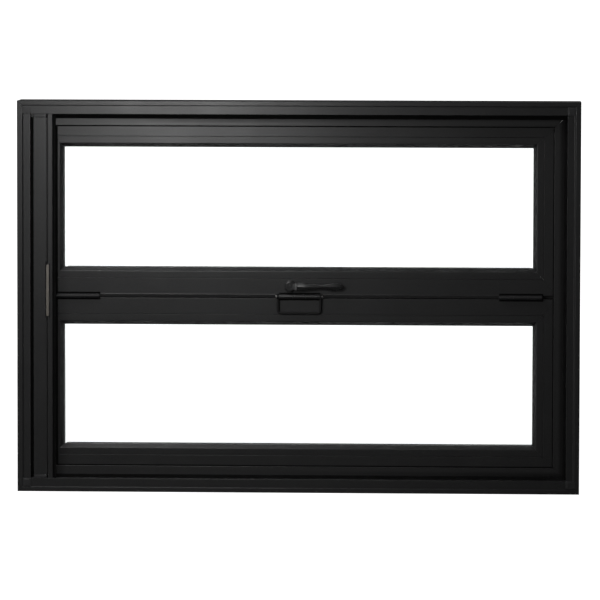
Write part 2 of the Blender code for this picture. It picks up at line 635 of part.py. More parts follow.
def build_screen():
    low, high = OPENING + GAP, HEIGHT - OPENING - GAP
    wall = CASSETTE_WALL
    (left, right), (front, back) = CASSETTE_X, CASSETTE_D
    inner_left, inner_right, inner_front, inner_back = left + wall, right - wall, front + wall, back - wall
    outline = [(right, CLOTH_SLOT[0]), (right, front), (left, front), (left, back), (right, back)]
    outline += [(right, CLOTH_SLOT[1]), (inner_right, CLOTH_SLOT[1]), (inner_right, inner_back)]
    outline += [(inner_left, inner_back), (inner_left, inner_front), (inner_right, inner_front)]
    outline += [(inner_right, CLOTH_SLOT[0])]
    body = extrude(outline, [], along_z, low + CASSETTE_CAP + GAP, high - CASSETTE_CAP - GAP)
    new_object("screen_housing", body, BLACK_COAT)
    journal = circle(ROLLER_AXIS, JOURNAL_R + GAP, 20)
    for name, z in (("bottom", (low, low + CASSETTE_CAP)), ("top", (high - CASSETTE_CAP, high))):
        cap = extrude(rectangle(CASSETTE_X, CASSETTE_D), [journal], along_z, *z)
        new_object(f"screen_cap_{name}", cap, CORNER_COAT)
    ends = (low + CASSETTE_CAP, high - CASSETTE_CAP)
    steps = [(ends[0] - 6, JOURNAL_R), (ends[0] + 1, JOURNAL_R), (ends[0] + 1, ROLL_R)]
    steps += [(sum(ends) - position, radius) for position, radius in reversed(steps)]
    roller = turned(ROLLER_AXIS, steps, along_z, 32)
    new_object("screen_roller", roller, SCREEN_CLOTH, (*ROLLER_AXIS, MEETING_Z))
    cloth = box((CASSETTE_X[1] - 2.5, BAR_X[0] - GAP), CLOTH_D, (ends[0] + 2, ends[1] - 2))
    new_object("screen_mesh", cloth, SCREEN_CLOTH)
    bar_z = (BAR_GROOVE_U + 1.5, HEIGHT - BAR_GROOVE_U - 1.5)
    hollow = rectangle((BAR_X[0] + BAR_WALL, BAR_X[1] - BAR_WALL), (BAR_D[0] + BAR_WALL, BAR_D[1] - BAR_WALL))
    bar = extrude(rectangle(BAR_X, BAR_D), [hollow], along_z, *bar_z)
    new_object("screen_pull_bar", bar, BLACK_COAT, (sum(BAR_X) / 2, sum(BAR_D) / 2, MEETING_Z))
    (left, right), (front, back), (bottom, top) = PULL_X, PULL_D, PULL_Z
    radius = (right - left) / 2
    middle = (left + right) / 2
    outline = arc((middle, bottom + radius), radius, 180, 360, 10) + arc((middle, top - radius), radius, 0, 180, 10)
    pull = new_object("screen_finger_pull", extrude(outline, [], along_depth, front, back), BRUSHED_PULL)
    lip = box((right - PULL_LIP, right), (PULL_LIP_FRONT, back), (bottom + radius, top - radius))
    combine(pull, lip, "UNION")


clear_scene()
BLACK_COAT = material("black_powder_coat", (0.028, 0.028, 0.029), 0.42)
BLACK_HARDWARE = material("black_hardware", (0.018, 0.018, 0.019), 0.3, 0.2)
CORNER_COAT = material("corner_block_black", (0.022, 0.022, 0.023), 0.5)
RUBBER = material("black_rubber", (0.012, 0.012, 0.012), 0.8)
STEEL = material("steel", (0.55, 0.54, 0.52), 0.3, 1.0)
BRUSHED_PULL = material("brushed_pull", (0.56, 0.51, 0.46), 0.35, 1.0)
CLEAR_GLASS = material("clear_glass", (0.9, 0.95, 0.94), 0.02)
NYLON = material("black_nylon", (0.03, 0.03, 0.03), 0.55)
SCREEN_CLOTH = material("screen_cloth", (0.05, 0.05, 0.05), 0.8)

build_frame()
build_sash("lower", LOWER_SASH, "top")
upper_members = build_sash("upper", UPPER_SASH, "bottom")
build_lock(upper_members)
build_bolt("left")
build_bolt("right")
build_top_hinge()
build_seam_hinge("seam_hinge_left", HINGE_CENTRE_X - END_HINGE_X, END_HINGE_LENGTH, False)
build_seam_hinge("seam_hinge_centre", MIDDLE_HINGE_X, MIDDLE_HINGE_LENGTH, True)
build_seam_hinge("seam_hinge_right", HINGE_CENTRE_X + END_HINGE_X, END_HINGE_LENGTH, False)
build_bail()
build_guides()
build_screen()
seal = box((-SASH_HALF_WIDTH + 6, SASH_HALF_WIDTH - 6), SEAL_D, (LOWER_SASH[1] + 1, UPPER_SASH[0] - GAP))
new_object("meeting_seal", seal, RUBBER)
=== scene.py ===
import math

import bpy
import numpy as np
from mathutils import Matrix, Vector
from mathutils.geometry import tessellate_polygon


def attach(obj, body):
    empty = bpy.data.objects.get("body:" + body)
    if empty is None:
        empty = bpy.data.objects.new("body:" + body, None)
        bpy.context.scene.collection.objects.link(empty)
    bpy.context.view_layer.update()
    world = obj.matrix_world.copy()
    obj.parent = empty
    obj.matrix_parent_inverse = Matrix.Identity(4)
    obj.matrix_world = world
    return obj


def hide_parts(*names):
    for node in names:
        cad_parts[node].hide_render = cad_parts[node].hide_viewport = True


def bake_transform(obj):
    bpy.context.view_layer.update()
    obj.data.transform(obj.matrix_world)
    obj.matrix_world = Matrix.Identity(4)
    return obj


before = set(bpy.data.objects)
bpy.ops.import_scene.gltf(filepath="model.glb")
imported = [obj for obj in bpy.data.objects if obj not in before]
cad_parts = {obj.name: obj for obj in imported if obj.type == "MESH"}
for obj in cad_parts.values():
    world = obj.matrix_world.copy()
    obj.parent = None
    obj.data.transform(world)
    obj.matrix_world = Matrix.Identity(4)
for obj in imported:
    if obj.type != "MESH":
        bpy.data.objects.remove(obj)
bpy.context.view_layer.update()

mm = 0.001
halfDepth = 57.5  # every depth below is in mm behind the front of the frame
mitreGap = 0.2
print("frame loaded,", len(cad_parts), "nodes")


# A shell is one closed skin: its points, its faces as a run of corners with their sizes, and how worn each
# point is. A section is a list of (u, depth, radius): u is a distance in from a member's outer edge, and the
# radius says how far its corner is rounded.


def place(x, depth, z):
    x, depth, z = np.broadcast_arrays(np.asarray(x, float), np.asarray(depth, float), np.asarray(z, float))
    return np.stack([x, depth - halfDepth, z], axis=-1)


def signedArea(outline):
    # twice the area inside a closed outline, positive when it turns from its first axis towards its second
    a, b = outline.T
    return np.sum(a * np.roll(b, -1) - b * np.roll(a, -1))


def quadsBetween(a, b):
    # face j joins points j and j + 1 of one ring to those of the next
    return np.stack([a, np.roll(a, -1, axis=1), np.roll(b, -1, axis=1), b], axis=-1).reshape(-1, 4)


def shellOf(points, corners, sizes, edge):
    # the signed volume, a sixth of the sum of a . (b x c), is negative when the faces point inwards
    starts = np.cumsum(sizes) - sizes
    four, three, many = starts[sizes == 4], starts[sizes == 3], sizes > 4
    wide = list(zip(starts[many], sizes[many]))
    fan = np.concatenate([np.arange(1, n - 1) + s for s, n in wide] or [[]])
    own = np.concatenate([np.full(n - 2, s) for s, n in wide] or [[]])
    first = np.concatenate([four, four, three, own]).astype(int)
    second = np.concatenate([four + 1, four + 2, three + 1, fan]).astype(int)
    p = points - points.mean(axis=0)
    a, b, c = p[corners[first]], p[corners[second]], p[corners[second + 1]]
    if np.einsum("ij,ij->i", a, np.cross(b, c)).sum() < 0:
        last = np.repeat(starts + sizes - 1, sizes)
        corners = corners[last - (np.arange(len(corners)) - np.repeat(starts, sizes))]
    return points, corners, sizes, edge


def gridShell(rings, edge=None, closedLong=False):
    # rings is (m, n, 3): m rings of n points, skinned one to the next and closed by a face at each end
    m, n = rings.shape[:2]
    index = np.arange(m * n).reshape(m, n)
    a = index if closedLong else index[:-1]
    b = np.roll(index, -1, axis=0) if closedLong else index[1:]
    quads = quadsBetween(a, b)
    corners, sizes = quads.ravel(), np.full(len(quads), 4)
    if not closedLong:
        corners = np.concatenate([corners, index[0][::-1], index[-1]])
        sizes = np.concatenate([sizes, [n, n]])
    wear = np.zeros((m, n)) if edge is None else np.broadcast_to(edge, (m, n))
    return shellOf(rings.reshape(-1, 3), corners, sizes, wear.ravel())


def soften(section, steps=4, guard=0.25):
    # each corner P becomes the curve (1-s)^2 A + 2s(1-s) P + s^2 B between points A and B on its two sides,
    # with a guard point just outside each so that the flats stay flat
    section = np.asarray(section, float)
    p, radius = section[:, :2], section[:, 2]
    before, after = np.roll(p, 1, axis=0) - p, np.roll(p, -1, axis=0) - p
    lb, la = np.linalg.norm(before, axis=1), np.linalg.norm(after, axis=1)
    ub, ua = before / lb[:, None], after / la[:, None]
    reach = np.minimum(radius, 0.42 * np.minimum(la, lb))
    outer = reach + np.minimum(guard, 0.06 * np.minimum(la, lb))
    s = np.linspace(0, 1, steps + 1)[None, :, None]
    start, stop = p + ub * reach[:, None], p + ua * reach[:, None]
    curve = (1 - s) ** 2 * start[:, None] + 2 * s * (1 - s) * p[:, None] + s**2 * stop[:, None]
    guardBefore, guardAfter = (p + toSide * outer[:, None] for toSide in (ub, ua))
    outline = np.concatenate([guardBefore[:, None], curve, guardAfter[:, None]], axis=1)
    convex = np.sign(ua[:, 0] * ub[:, 1] - ua[:, 1] * ub[:, 0]) == np.sign(signedArea(p))
    ramp = np.concatenate([[0], np.sin(np.linspace(0.3, np.pi - 0.3, steps + 1)), [0]])
    return outline.reshape(-1, 2), (convex[:, None] * ramp[None, :]).ravel()


def sidePlace(side, halfWidth, low, high, middle=0.0):
    # where (u, depth, t) lies for one side of a rectangle, and the ends of t
    return {
        "top": (lambda u, d, t: place(t + middle, d, high - u), -halfWidth, halfWidth),
        "bottom": (lambda u, d, t: place(t + middle, d, low + u), -halfWidth, halfWidth),
        "left": (lambda u, d, t: place(u - halfWidth + middle, d, t), low, high),
        "right": (lambda u, d, t: place(halfWidth - u + middle, d, t), low, high),
    }[side]


def runAlong(sections, put, start, end, slope=0.0, steps=4, pocket=None):
    # sections are carried in a straight line: point (u, d) runs from start + slope u to end - slope u. The
    # first is the outside and the rest are hollows. A pocket, given as its low and high ends, front and back
    # depths, and the u of the wall and of its floor, sinks part of the outside over a short length.
    points, corners, wear, loops, count = [], [], [], [], 0
    share = np.array([0, 0.003, 0.997, 1.0])  # a ring just inside each end keeps the shading flat
    for number, section in enumerate(sections):
        outline, edge = soften(section, steps)
        u, d = outline.T
        if (signedArea(outline) > 0) == (number > 0):
            outline, edge, u, d = outline[::-1], edge[::-1], u[::-1], d[::-1]
        first, last = start + slope * u, end - slope * u
        along = first * (1 - share[:, None]) + last * share[:, None]
        across = np.broadcast_to(u, along.shape).copy()
        if pocket is not None and number == 0:
            low, high, front, back, wall, floor = pocket
            stops = np.array([low, low + 0.05, high - 0.05, high])[:, None]
            stops = np.maximum(stops, along[1] + np.array([0.01, 0.02, 0.03, 0.04])[:, None])
            inside = (np.abs(u - wall) < 0.02) & (d > front) & (d < back)
            sunk = np.broadcast_to(u, stops.shape).copy()
            sunk[1:3, inside] = floor
            along = np.concatenate([along[:2], stops, along[2:]])
            across = np.concatenate([across[:2], sunk, across[2:]])
        m, n = along.shape
        rings = put(across, np.broadcast_to(d, along.shape), along)
        index = count + np.arange(m * n).reshape(m, n)
        corners.append(quadsBetween(index[:-1], index[1:]))
        points.append(rings.reshape(-1, 3))
        wear.append(np.broadcast_to(edge, (m, n)).ravel() * (number == 0))
        loops.append((outline, index))
        count += m * n
    triangles = np.array(tessellate_polygon([[(*p, 0) for p in outline] for outline, _ in loops]))
    starts, ends = (np.concatenate([index[k] for _, index in loops]) for k in (0, -1))
    quads = np.concatenate(corners)
    caps = np.concatenate([starts[triangles], ends[triangles[:, ::-1]]])
    # a cap turns the same way as the skin when its first edge runs against the skin's
    u, d = np.concatenate([outline for outline, _ in loops])[triangles[0]].T
    turn = (u[1] - u[0]) * (d[2] - d[0]) - (d[1] - d[0]) * (u[2] - u[0])
    if turn < 0:
        caps = caps[:, ::-1]
    run = np.concatenate([quads.ravel(), caps.ravel()])
    sizes = np.concatenate([np.full(len(quads), 4), np.full(len(caps), 3)])
    return shellOf(np.concatenate(points), run, sizes, np.concatenate(wear))


def mitred(section, side, halfWidth, low, high, hollows=(), pocket=None, middle=0.0):
    # a member of a rectangle, cut at 45 degrees and a hair short at each end
    put, start, end = sidePlace(side, halfWidth, low, high, middle)
    return runAlong([section, *hollows], put, start + mitreGap, end - mitreGap, 1.0, 4, pocket)


def roundRing(section, halfWidth, low, high, middle=0.0):
    # each point of the section makes its own rectangle, in from the edges by its u
    outline, edge = soften(section, 3)
    u, d = outline[:, 0], outline[:, 1]
    sign = np.array([[-1, -1], [1, -1], [1, 1], [-1, 1]], float)
    x = sign[:, :1] * (halfWidth - u[None]) + middle
    z = np.where(sign[:, 1:] < 0, low + u[None], high - u[None])
    return gridShell(place(x, d[None], z), edge[None], closedLong=True)


def roundedBox(halfA, halfB, radius, centre=(0, 0), steps=6):
    # a rectangle whose corners are quarter circles
    angle = np.linspace(0, np.pi / 2, steps)[None] + np.arange(4)[:, None] * np.pi / 2
    sign = np.array([[1, 1], [-1, 1], [-1, -1], [1, -1]], float)
    a = centre[0] + sign[:, :1] * (halfA - radius) + radius * np.cos(angle)
    b = centre[1] + sign[:, 1:] * (halfB - radius) + radius * np.sin(angle)
    return np.stack([a.ravel(), b.ravel()], axis=1)


def slab(outline, levels, toPlace):
    # the outline, drawn in by each level's inset, at each level's height; a level may also say its wear
    tangent = np.roll(outline, -1, axis=0) - np.roll(outline, 1, axis=0)
    normal = np.stack([tangent[:, 1], -tangent[:, 0]], axis=1)
    normal /= np.linalg.norm(normal, axis=1)[:, None]
    levels = np.asarray(levels, float)
    points = outline[None] - np.sign(signedArea(outline)) * normal[None] * levels[:, 1][:, None, None]
    height = np.broadcast_to(levels[:, 0][:, None], points.shape[:2])
    wear = levels[:, 2][:, None] if levels.shape[1] > 2 else None
    return gridShell(toPlace(points[..., 0], points[..., 1], height), wear)


def turned(profile, toPlace, centre=(0, 0), count=40, closed=False):
    # a profile of (position, radius, wear) turned about an axis: a = radius cos, b = radius sin
    profile = np.asarray(profile, float)
    angle = np.arange(count) * 2 * np.pi / count
    a = centre[0] + profile[:, 1:2] * np.cos(angle)
    b = centre[1] + profile[:, 1:2] * np.sin(angle)
    c = np.broadcast_to(profile[:, :1], a.shape)
    return gridShell(toPlace(a, b, c), profile[:, 2:3], closedLong=closed)


def softRound(points, steps=3):
    # (position, radius, corner radius) along a turned piece, with its corners rounded. The first and last
    # points lie next to the axis and stay as they are.
    points = np.asarray(points, float)
    outline, edge = soften(points, steps, 0.12)
    n = steps + 3
    outline, edge = outline.reshape(-1, n, 2)[1:-1].reshape(-1, 2), edge.reshape(-1, n)[1:-1].ravel()
    ends = np.column_stack([points[[0, -1], :2], [0, 0]])
    return np.concatenate([ends[:1], np.column_stack([outline, edge]), ends[1:]])


def barrel(start, end, outer, bore, toPlace, centre, count=40):
    # a tube: its rounded rectangular section, (position, radius), goes once round the axis
    section = [(start, bore, 0.1), (start, outer, 0.45), (end, outer, 0.45), (end, bore, 0.1)]
    outline, edge = soften(section, 3, 0.12)
    return turned(np.column_stack([outline, edge]), toPlace, centre, count, closed=True)


def tube(path, radius, count=24):
    # a circle carried along a path at one depth: radius (n cos + y sin), with n square to the path
    path, radius = np.asarray(path, float), np.broadcast_to(np.asarray(radius, float), (len(path),))
    tangent = np.gradient(path, axis=0)
    tangent /= np.linalg.norm(tangent, axis=1)[:, None]
    across = np.array([0.0, 1.0, 0.0])
    angle = np.arange(count) * 2 * np.pi / count
    normal = np.cross(tangent, across)
    rings = np.cos(angle)[None, :, None] * normal[:, None] + np.sin(angle)[None, :, None] * across
    rings = path[:, None] + radius[:, None, None] * rings
    return gridShell(place(rings[..., 0], rings[..., 1], rings[..., 2]))


def alongX(a, b, c):
    return place(c, a, b)


def alongDepth(a, b, c):
    return place(a, c, b)


def alongZ(a, b, c):
    return place(a, b, c)


def setValues(mesh, name, values):
    mesh.attributes.new(name, "FLOAT", "POINT").data.foreach_set("value", values.astype(np.float32))


def makePiece(name, shells, body, material, nodes=(), sharp=38):
    # several shells become one object, in metres, with the wear of each point kept for its material. A piece
    # without a body is left unattached.
    offset = np.cumsum([0] + [len(s[0]) for s in shells])
    corners = np.concatenate([s[1] + offset[i] for i, s in enumerate(shells)]).astype(np.int32)
    sizes = np.concatenate([s[2] for s in shells]).astype(np.int32)
    mesh = bpy.data.meshes.new(name)
    mesh.vertices.add(int(offset[-1]))
    points = np.concatenate([s[0] for s in shells]) * mm
    mesh.vertices.foreach_set("co", points.astype(np.float32).ravel())
    mesh.loops.add(len(corners))
    mesh.loops.foreach_set("vertex_index", corners)
    mesh.polygons.add(len(sizes))
    mesh.polygons.foreach_set("loop_start", (np.cumsum(sizes) - sizes).astype(np.int32))
    mesh.update(calc_edges=True)
    setValues(mesh, "edgeWear", np.concatenate([s[3] for s in shells]))
    mesh.validate()
    mesh.shade_smooth()
    mesh.set_sharp_from_angle(angle=math.radians(sharp))
    mesh.materials.append(material)
    piece = bpy.data.objects.new(name, mesh)
    bpy.context.scene.collection.objects.link(piece)
    if body:
        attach(piece, body)
    if nodes:
        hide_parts(*nodes)
    return piece


# Node groups that several finishes share


def newGroup(name, inputs, outputs):
    tree = bpy.data.node_groups.new(name, "ShaderNodeTree")
    for label, value in inputs:
        socket = tree.interface.new_socket(label, in_out="INPUT", socket_type="NodeSocketFloat")
        socket.default_value = value
    for label, kind in outputs:
        tree.interface.new_socket(label, in_out="OUTPUT", socket_type=kind)
    return tree, tree.nodes.new("NodeGroupInput"), tree.nodes.new("NodeGroupOutput")


def node(tree, kind, links=None, **values):
    # a node with its properties or socket values set, and links as {input name: output socket}
    made = tree.nodes.new(kind)
    for key, value in values.items():
        if key in made.inputs:
            made.inputs[key].default_value = value
        else:
            setattr(made, key, value)
    for key, source in (links or {}).items():
        tree.links.new(source, made.inputs[key])
    return made


def objectPlace(tree):
    return tree.nodes.new("ShaderNodeTexCoord").outputs["Object"]


def noise(tree, where, scale, detail=2.0, roughness=0.5):
    made = tree.nodes.new("ShaderNodeTexNoise")
    made.inputs["Scale"].default_value = scale
    made.inputs["Detail"].default_value = detail
    made.inputs["Roughness"].default_value = roughness
    tree.links.new(where, made.inputs["Vector"])
    return made.outputs["Fac"]


def mapRange(tree, value, low, high, toLow, toHigh):
    made = tree.nodes.new("ShaderNodeMapRange")
    tree.links.new(value, made.inputs["Value"])
    for key, number in (("From Min", low), ("From Max", high), ("To Min", toLow), ("To Max", toHigh)):
        made.inputs[key].default_value = number
    return made.outputs["Result"]


def maths(tree, operation, a, b):
    made = tree.nodes.new("ShaderNodeMath")
    made.operation = operation
    for slot, value in zip(made.inputs, (a, b)):
        if isinstance(value, bpy.types.NodeSocket):
            tree.links.new(value, slot)
        else:
            slot.default_value = value
    return made.outputs[0]


def mixColour(tree, factor, a, b):
    made = tree.nodes.new("ShaderNodeMix")
    made.data_type = "RGBA"
    tree.links.new(factor, made.inputs["Factor"])
    for key, value in ((6, a), (7, b)):
        if isinstance(value, bpy.types.NodeSocket):
            tree.links.new(value, made.inputs[key])
        else:
            made.inputs[key].default_value = (*value, 1)
    return made.outputs[2]


def buildGrain():
    # fine pimples of a sprayed or moulded skin: two sizes of noise and small round cells
    inputs, outputs = [("Scale", 1400.0), ("Cells", 0.4)], [("Height", "NodeSocketFloat")]
    tree, given, out = newGroup("skinGrain", inputs, outputs)
    where = objectPlace(tree)
    fine = node(tree, "ShaderNodeTexNoise", {"Vector": where, "Scale": given.outputs["Scale"]}, Detail=2.0)
    wide = noise(tree, where, 260.0, 2.0)
    cells = node(tree, "ShaderNodeTexVoronoi", {"Vector": where, "Scale": given.outputs["Scale"]})
    cells.feature = "SMOOTH_F1"
    pits = maths(tree, "MULTIPLY", cells.outputs["Distance"], given.outputs["Cells"])
    fineShare = maths(tree, "MULTIPLY", fine.outputs["Fac"], 0.7)
    both = maths(tree, "ADD", fineShare, maths(tree, "MULTIPLY", wide, 0.5))
    tree.links.new(maths(tree, "ADD", both, pits), out.inputs["Height"])
    return tree


def buildRubbed():
    # where handling has polished or thinned a finish: the piece's worn edges, broken up by noise
    tree, given, out = newGroup("rubbedEdge", [("Amount", 0.5)], [("Mask", "NodeSocketFloat")])
    where = objectPlace(tree)
    edge = node(tree, "ShaderNodeAttribute", attribute_name="edgeWear").outputs["Fac"]
    broken = mapRange(tree, noise(tree, where, 34.0, 6.0, 0.65), 0.42, 0.72, 0.1, 1.0)
    mask = maths(tree, "MULTIPLY", maths(tree, "MULTIPLY", edge, broken), given.outputs["Amount"])
    tree.links.new(mask, out.inputs["Mask"])
    return tree


def buildSmudge():
    # broad, faint changes in gloss and a light dust in clouds
    outputs = [("Roughness", "NodeSocketFloat"), ("Dust", "NodeSocketFloat")]
    tree, given, out = newGroup("smudge", [("Low", 0.34), ("High", 0.46)], outputs)
    where = objectPlace(tree)
    clouds = noise(tree, where, 7.0, 5.0, 0.6)
    fine = noise(tree, where, 420.0, 2.0, 0.6)
    both = maths(tree, "ADD", maths(tree, "MULTIPLY", clouds, 0.7), maths(tree, "MULTIPLY", fine, 0.3))
    limits = {"Value": both, "To Min": given.outputs["Low"], "To Max": given.outputs["High"]}
    spread = node(tree, "ShaderNodeMapRange", limits)
    spread.inputs["From Min"].default_value = 0.35
    spread.inputs["From Max"].default_value = 0.65
    tree.links.new(spread.outputs["Result"], out.inputs["Roughness"])
    dust = mapRange(tree, noise(tree, where, 19.0, 6.0, 0.7), 0.5, 0.8, 0.0, 1.0)
    tree.links.new(dust, out.inputs["Dust"])
    return tree


grainGroup, rubbedGroup, smudgeGroup = buildGrain(), buildRubbed(), buildSmudge()


def useGroup(tree, group, **values):
    made = tree.nodes.new("ShaderNodeGroup")
    made.node_tree = group
    for key, value in values.items():
        made.inputs[key].default_value = value
    return made


def newMaterial(name):
    material = bpy.data.materials.new(name)
    material.use_nodes = True
    return material, material.node_tree, material.node_tree.nodes["Principled BSDF"]


def coated(name, look):
    # a sprayed, moulded or rubber skin: two close tones by its grain, a paler one on worn edges, faint dust
    # and a fine bump. Painted shade, where a piece has it, blackens and dulls the skin.
    material, tree, shader = newMaterial(name)
    grain = useGroup(tree, grainGroup, Scale=look["grain"], Cells=look["cells"])
    smudge = useGroup(tree, smudgeGroup, Low=look["rough"][0], High=look["rough"][1])
    rubbed = useGroup(tree, rubbedGroup, Amount=look["wear"])
    speck = mapRange(tree, grain.outputs["Height"], 0.45, 0.95, 0.0, 1.0)
    tone = mixColour(tree, speck, look["dark"], look["light"])
    dust = maths(tree, "MULTIPLY", smudge.outputs["Dust"], look["dust"])
    dusty = mixColour(tree, dust, tone, look["dustTone"])
    worn = mixColour(tree, rubbed.outputs["Mask"], dusty, look["worn"])
    # painted shade: this attribute blackens the colour and dulls the gloss, standing in for the shade in a
    # recess
    paintedShade = node(tree, "ShaderNodeAttribute", attribute_name="paintedShade").outputs["Fac"]
    tree.links.new(mixColour(tree, paintedShade, worn, (0.001, 0.001, 0.001)), shader.inputs["Base Color"])
    polished = maths(tree, "MULTIPLY", rubbed.outputs["Mask"], 0.12)
    gloss = maths(tree, "SUBTRACT", smudge.outputs["Roughness"], polished)
    dulled = maths(tree, "ADD", gloss, maths(tree, "MULTIPLY", paintedShade, 0.6))
    tree.links.new(dulled, shader.inputs["Roughness"])
    height = {"Height": grain.outputs["Height"]}
    bump = node(tree, "ShaderNodeBump", height, Strength=look["bump"], Distance=look["deep"])
    tree.links.new(bump.outputs["Normal"], shader.inputs["Normal"])
    shader.inputs["Specular IOR Level"].default_value = look["specular"]
    return material


def brushed(name, look):
    # bare metal: long fine scratches along one direction, clouds of tarnish, brighter worn edges
    material, tree, shader = newMaterial(name)
    where = objectPlace(tree)
    stretch = node(tree, "ShaderNodeMapping", {"Vector": where}, Scale=look["stretch"])
    lines = noise(tree, stretch.outputs["Vector"], 1.0, 5.0, 0.7)
    clouds = noise(tree, where, 22.0, 4.0, 0.6)
    rubbed = useGroup(tree, rubbedGroup, Amount=look["wear"])
    tone = mixColour(tree, mapRange(tree, lines, 0.3, 0.7, 0.0, 1.0), look["dark"], look["light"])
    tarnish = mixColour(tree, mapRange(tree, clouds, 0.5, 0.75, 0.0, look["tarnish"]), tone, look["dull"])
    worn = mixColour(tree, rubbed.outputs["Mask"], tarnish, look["worn"])
    tree.links.new(worn, shader.inputs["Base Color"])
    tree.links.new(mapRange(tree, lines, 0.25, 0.75, *look["rough"]), shader.inputs["Roughness"])
    bump = node(tree, "ShaderNodeBump", {"Height": lines}, Strength=look["bump"], Distance=0.00004)
    tree.links.new(bump.outputs["Normal"], shader.inputs["Normal"])
    shader.inputs["Metallic"].default_value = 1.0
    return material


def clearGlass(name):
    # clear float glass with a very faint smear. Shadow rays go through it, so it doesn't darken the reveals.
    material, tree, shader = newMaterial(name)
    where = objectPlace(tree)
    smear = noise(tree, where, 9.0, 5.0, 0.6)
    tree.links.new(mapRange(tree, smear, 0.35, 0.75, 0.0, 0.03), shader.inputs["Roughness"])
    share = mapRange(tree, smear, 0.4, 0.7, 0.0, 1.0)
    tone = mixColour(tree, share, (0.975, 0.99, 0.985), (0.985, 0.995, 0.99))
    tree.links.new(tone, shader.inputs["Base Color"])
    shader.inputs["Transmission Weight"].default_value = 1.0
    shader.inputs["IOR"].default_value = 1.5
    clear = node(tree, "ShaderNodeBsdfTransparent", Color=(0.93, 0.95, 0.94, 1))
    mix = tree.nodes.new("ShaderNodeMixShader")
    tree.links.new(tree.nodes.new("ShaderNodeLightPath").outputs["Is Shadow Ray"], mix.inputs[0])
    tree.links.new(shader.outputs[0], mix.inputs[1])
    tree.links.new(clear.outputs[0], mix.inputs[2])
    tree.links.new(mix.outputs[0], tree.nodes["Material Output"].inputs["Surface"])
    return material


def insectCloth(name, look):
    # a plain weave of dark threads: there is thread where the nearest line of either set is close
    material, tree, shader = newMaterial(name)
    where = objectPlace(tree)
    parts = node(tree, "ShaderNodeSeparateXYZ", {"Vector": where})
    ridges = []
    for axis in ("X", "Z"):
        cycle = maths(tree, "PINGPONG", parts.outputs[axis], look["pitch"] / 2)
        ridges.append(mapRange(tree, cycle, look["thread"] * 0.3, look["thread"] * 0.7, 1.0, 0.0))
    thread = maths(tree, "MAXIMUM", *ridges)
    tree.links.new(mapRange(tree, thread, 0.0, 1.0, look["gapAlpha"], 1.0), shader.inputs["Alpha"])
    fuzz = noise(tree, where, 900.0, 3.0)
    tree.links.new(mixColour(tree, fuzz, look["dark"], look["light"]), shader.inputs["Base Color"])
    bump = node(tree, "ShaderNodeBump", {"Height": thread}, Strength=0.6, Distance=0.0002)
    tree.links.new(bump.outputs["Normal"], shader.inputs["Normal"])
    shader.inputs["Roughness"].default_value = 0.75
    return material


powderCoatLook = {
    "dark": (0.010, 0.010, 0.0102), "light": (0.019, 0.019, 0.0195), "worn": (0.045, 0.045, 0.046),
    "dustTone": (0.05, 0.05, 0.048), "dust": 0.08, "grain": 1500.0, "cells": 0.45, "rough": (0.32, 0.39),
    "wear": 0.12, "bump": 0.32, "deep": 0.00009, "specular": 0.45,
}
hardwareLook = {
    "dark": (0.006, 0.006, 0.0063), "light": (0.011, 0.011, 0.0115), "worn": (0.05, 0.049, 0.048),
    "dustTone": (0.04, 0.04, 0.04), "dust": 0.05, "grain": 2600.0, "cells": 0.15, "rough": (0.27, 0.34),
    "wear": 0.2, "bump": 0.12, "deep": 0.00005, "specular": 0.5,
}
hingeLook = {
    "dark": (0.009, 0.009, 0.0095), "light": (0.016, 0.016, 0.017), "worn": (0.045, 0.045, 0.044),
    "dustTone": (0.045, 0.045, 0.045), "dust": 0.08, "grain": 1900.0, "cells": 0.3, "rough": (0.46, 0.56),
    "wear": 0.35, "bump": 0.22, "deep": 0.00006, "specular": 0.35,
}
bailLook = {
    "dark": (0.007, 0.007, 0.0072), "light": (0.013, 0.013, 0.0133), "worn": (0.035, 0.035, 0.035),
    "dustTone": (0.03, 0.03, 0.03), "dust": 0.08, "grain": 1800.0, "cells": 0.4, "rough": (0.62, 0.75),
    "wear": 0.3, "bump": 0.25, "deep": 0.00006, "specular": 0.22,
}
# a near-black pile: the strips made in it stand in for the shade in recesses and gaps, as painted shade
shadePileLook = {
    "dark": (0.0015, 0.0015, 0.0015), "light": (0.004, 0.004, 0.004), "worn": (0.016, 0.016, 0.0165),
    "dustTone": (0.03, 0.03, 0.03), "dust": 0.05, "grain": 1700.0, "cells": 0.9, "rough": (0.85, 1.0),
    "wear": 1.0, "bump": 0.9, "deep": 0.0002, "specular": 0.08,
}
cornerLook = {
    "dark": (0.013, 0.013, 0.0135), "light": (0.022, 0.022, 0.023), "worn": (0.11, 0.11, 0.112),
    "dustTone": (0.06, 0.06, 0.06), "dust": 0.12, "grain": 1100.0, "cells": 0.8, "rough": (0.42, 0.55),
    "wear": 1.0, "bump": 0.4, "deep": 0.00011, "specular": 0.42,
}
rubberLook = {
    "dark": (0.008, 0.008, 0.008), "light": (0.016, 0.016, 0.016), "worn": (0.03, 0.03, 0.03),
    "dustTone": (0.06, 0.058, 0.055), "dust": 0.22, "grain": 900.0, "cells": 0.3, "rough": (0.6, 0.8),
    "wear": 0.3, "bump": 0.3, "deep": 0.0001, "specular": 0.35,
}
nylonLook = {
    "dark": (0.018, 0.018, 0.018), "light": (0.03, 0.03, 0.03), "worn": (0.06, 0.06, 0.06),
    "dustTone": (0.08, 0.08, 0.078), "dust": 0.15, "grain": 1300.0, "cells": 0.6, "rough": (0.45, 0.6),
    "wear": 0.4, "bump": 0.25, "deep": 0.00008, "specular": 0.45,
}
steelLook = {
    "dark": (0.42, 0.41, 0.40), "light": (0.60, 0.59, 0.57), "dull": (0.30, 0.28, 0.25), "tarnish": 0.35,
    "worn": (0.72, 0.71, 0.69), "stretch": (60.0, 2600.0, 2600.0), "rough": (0.26, 0.42), "wear": 0.5,
    "bump": 0.2,
}
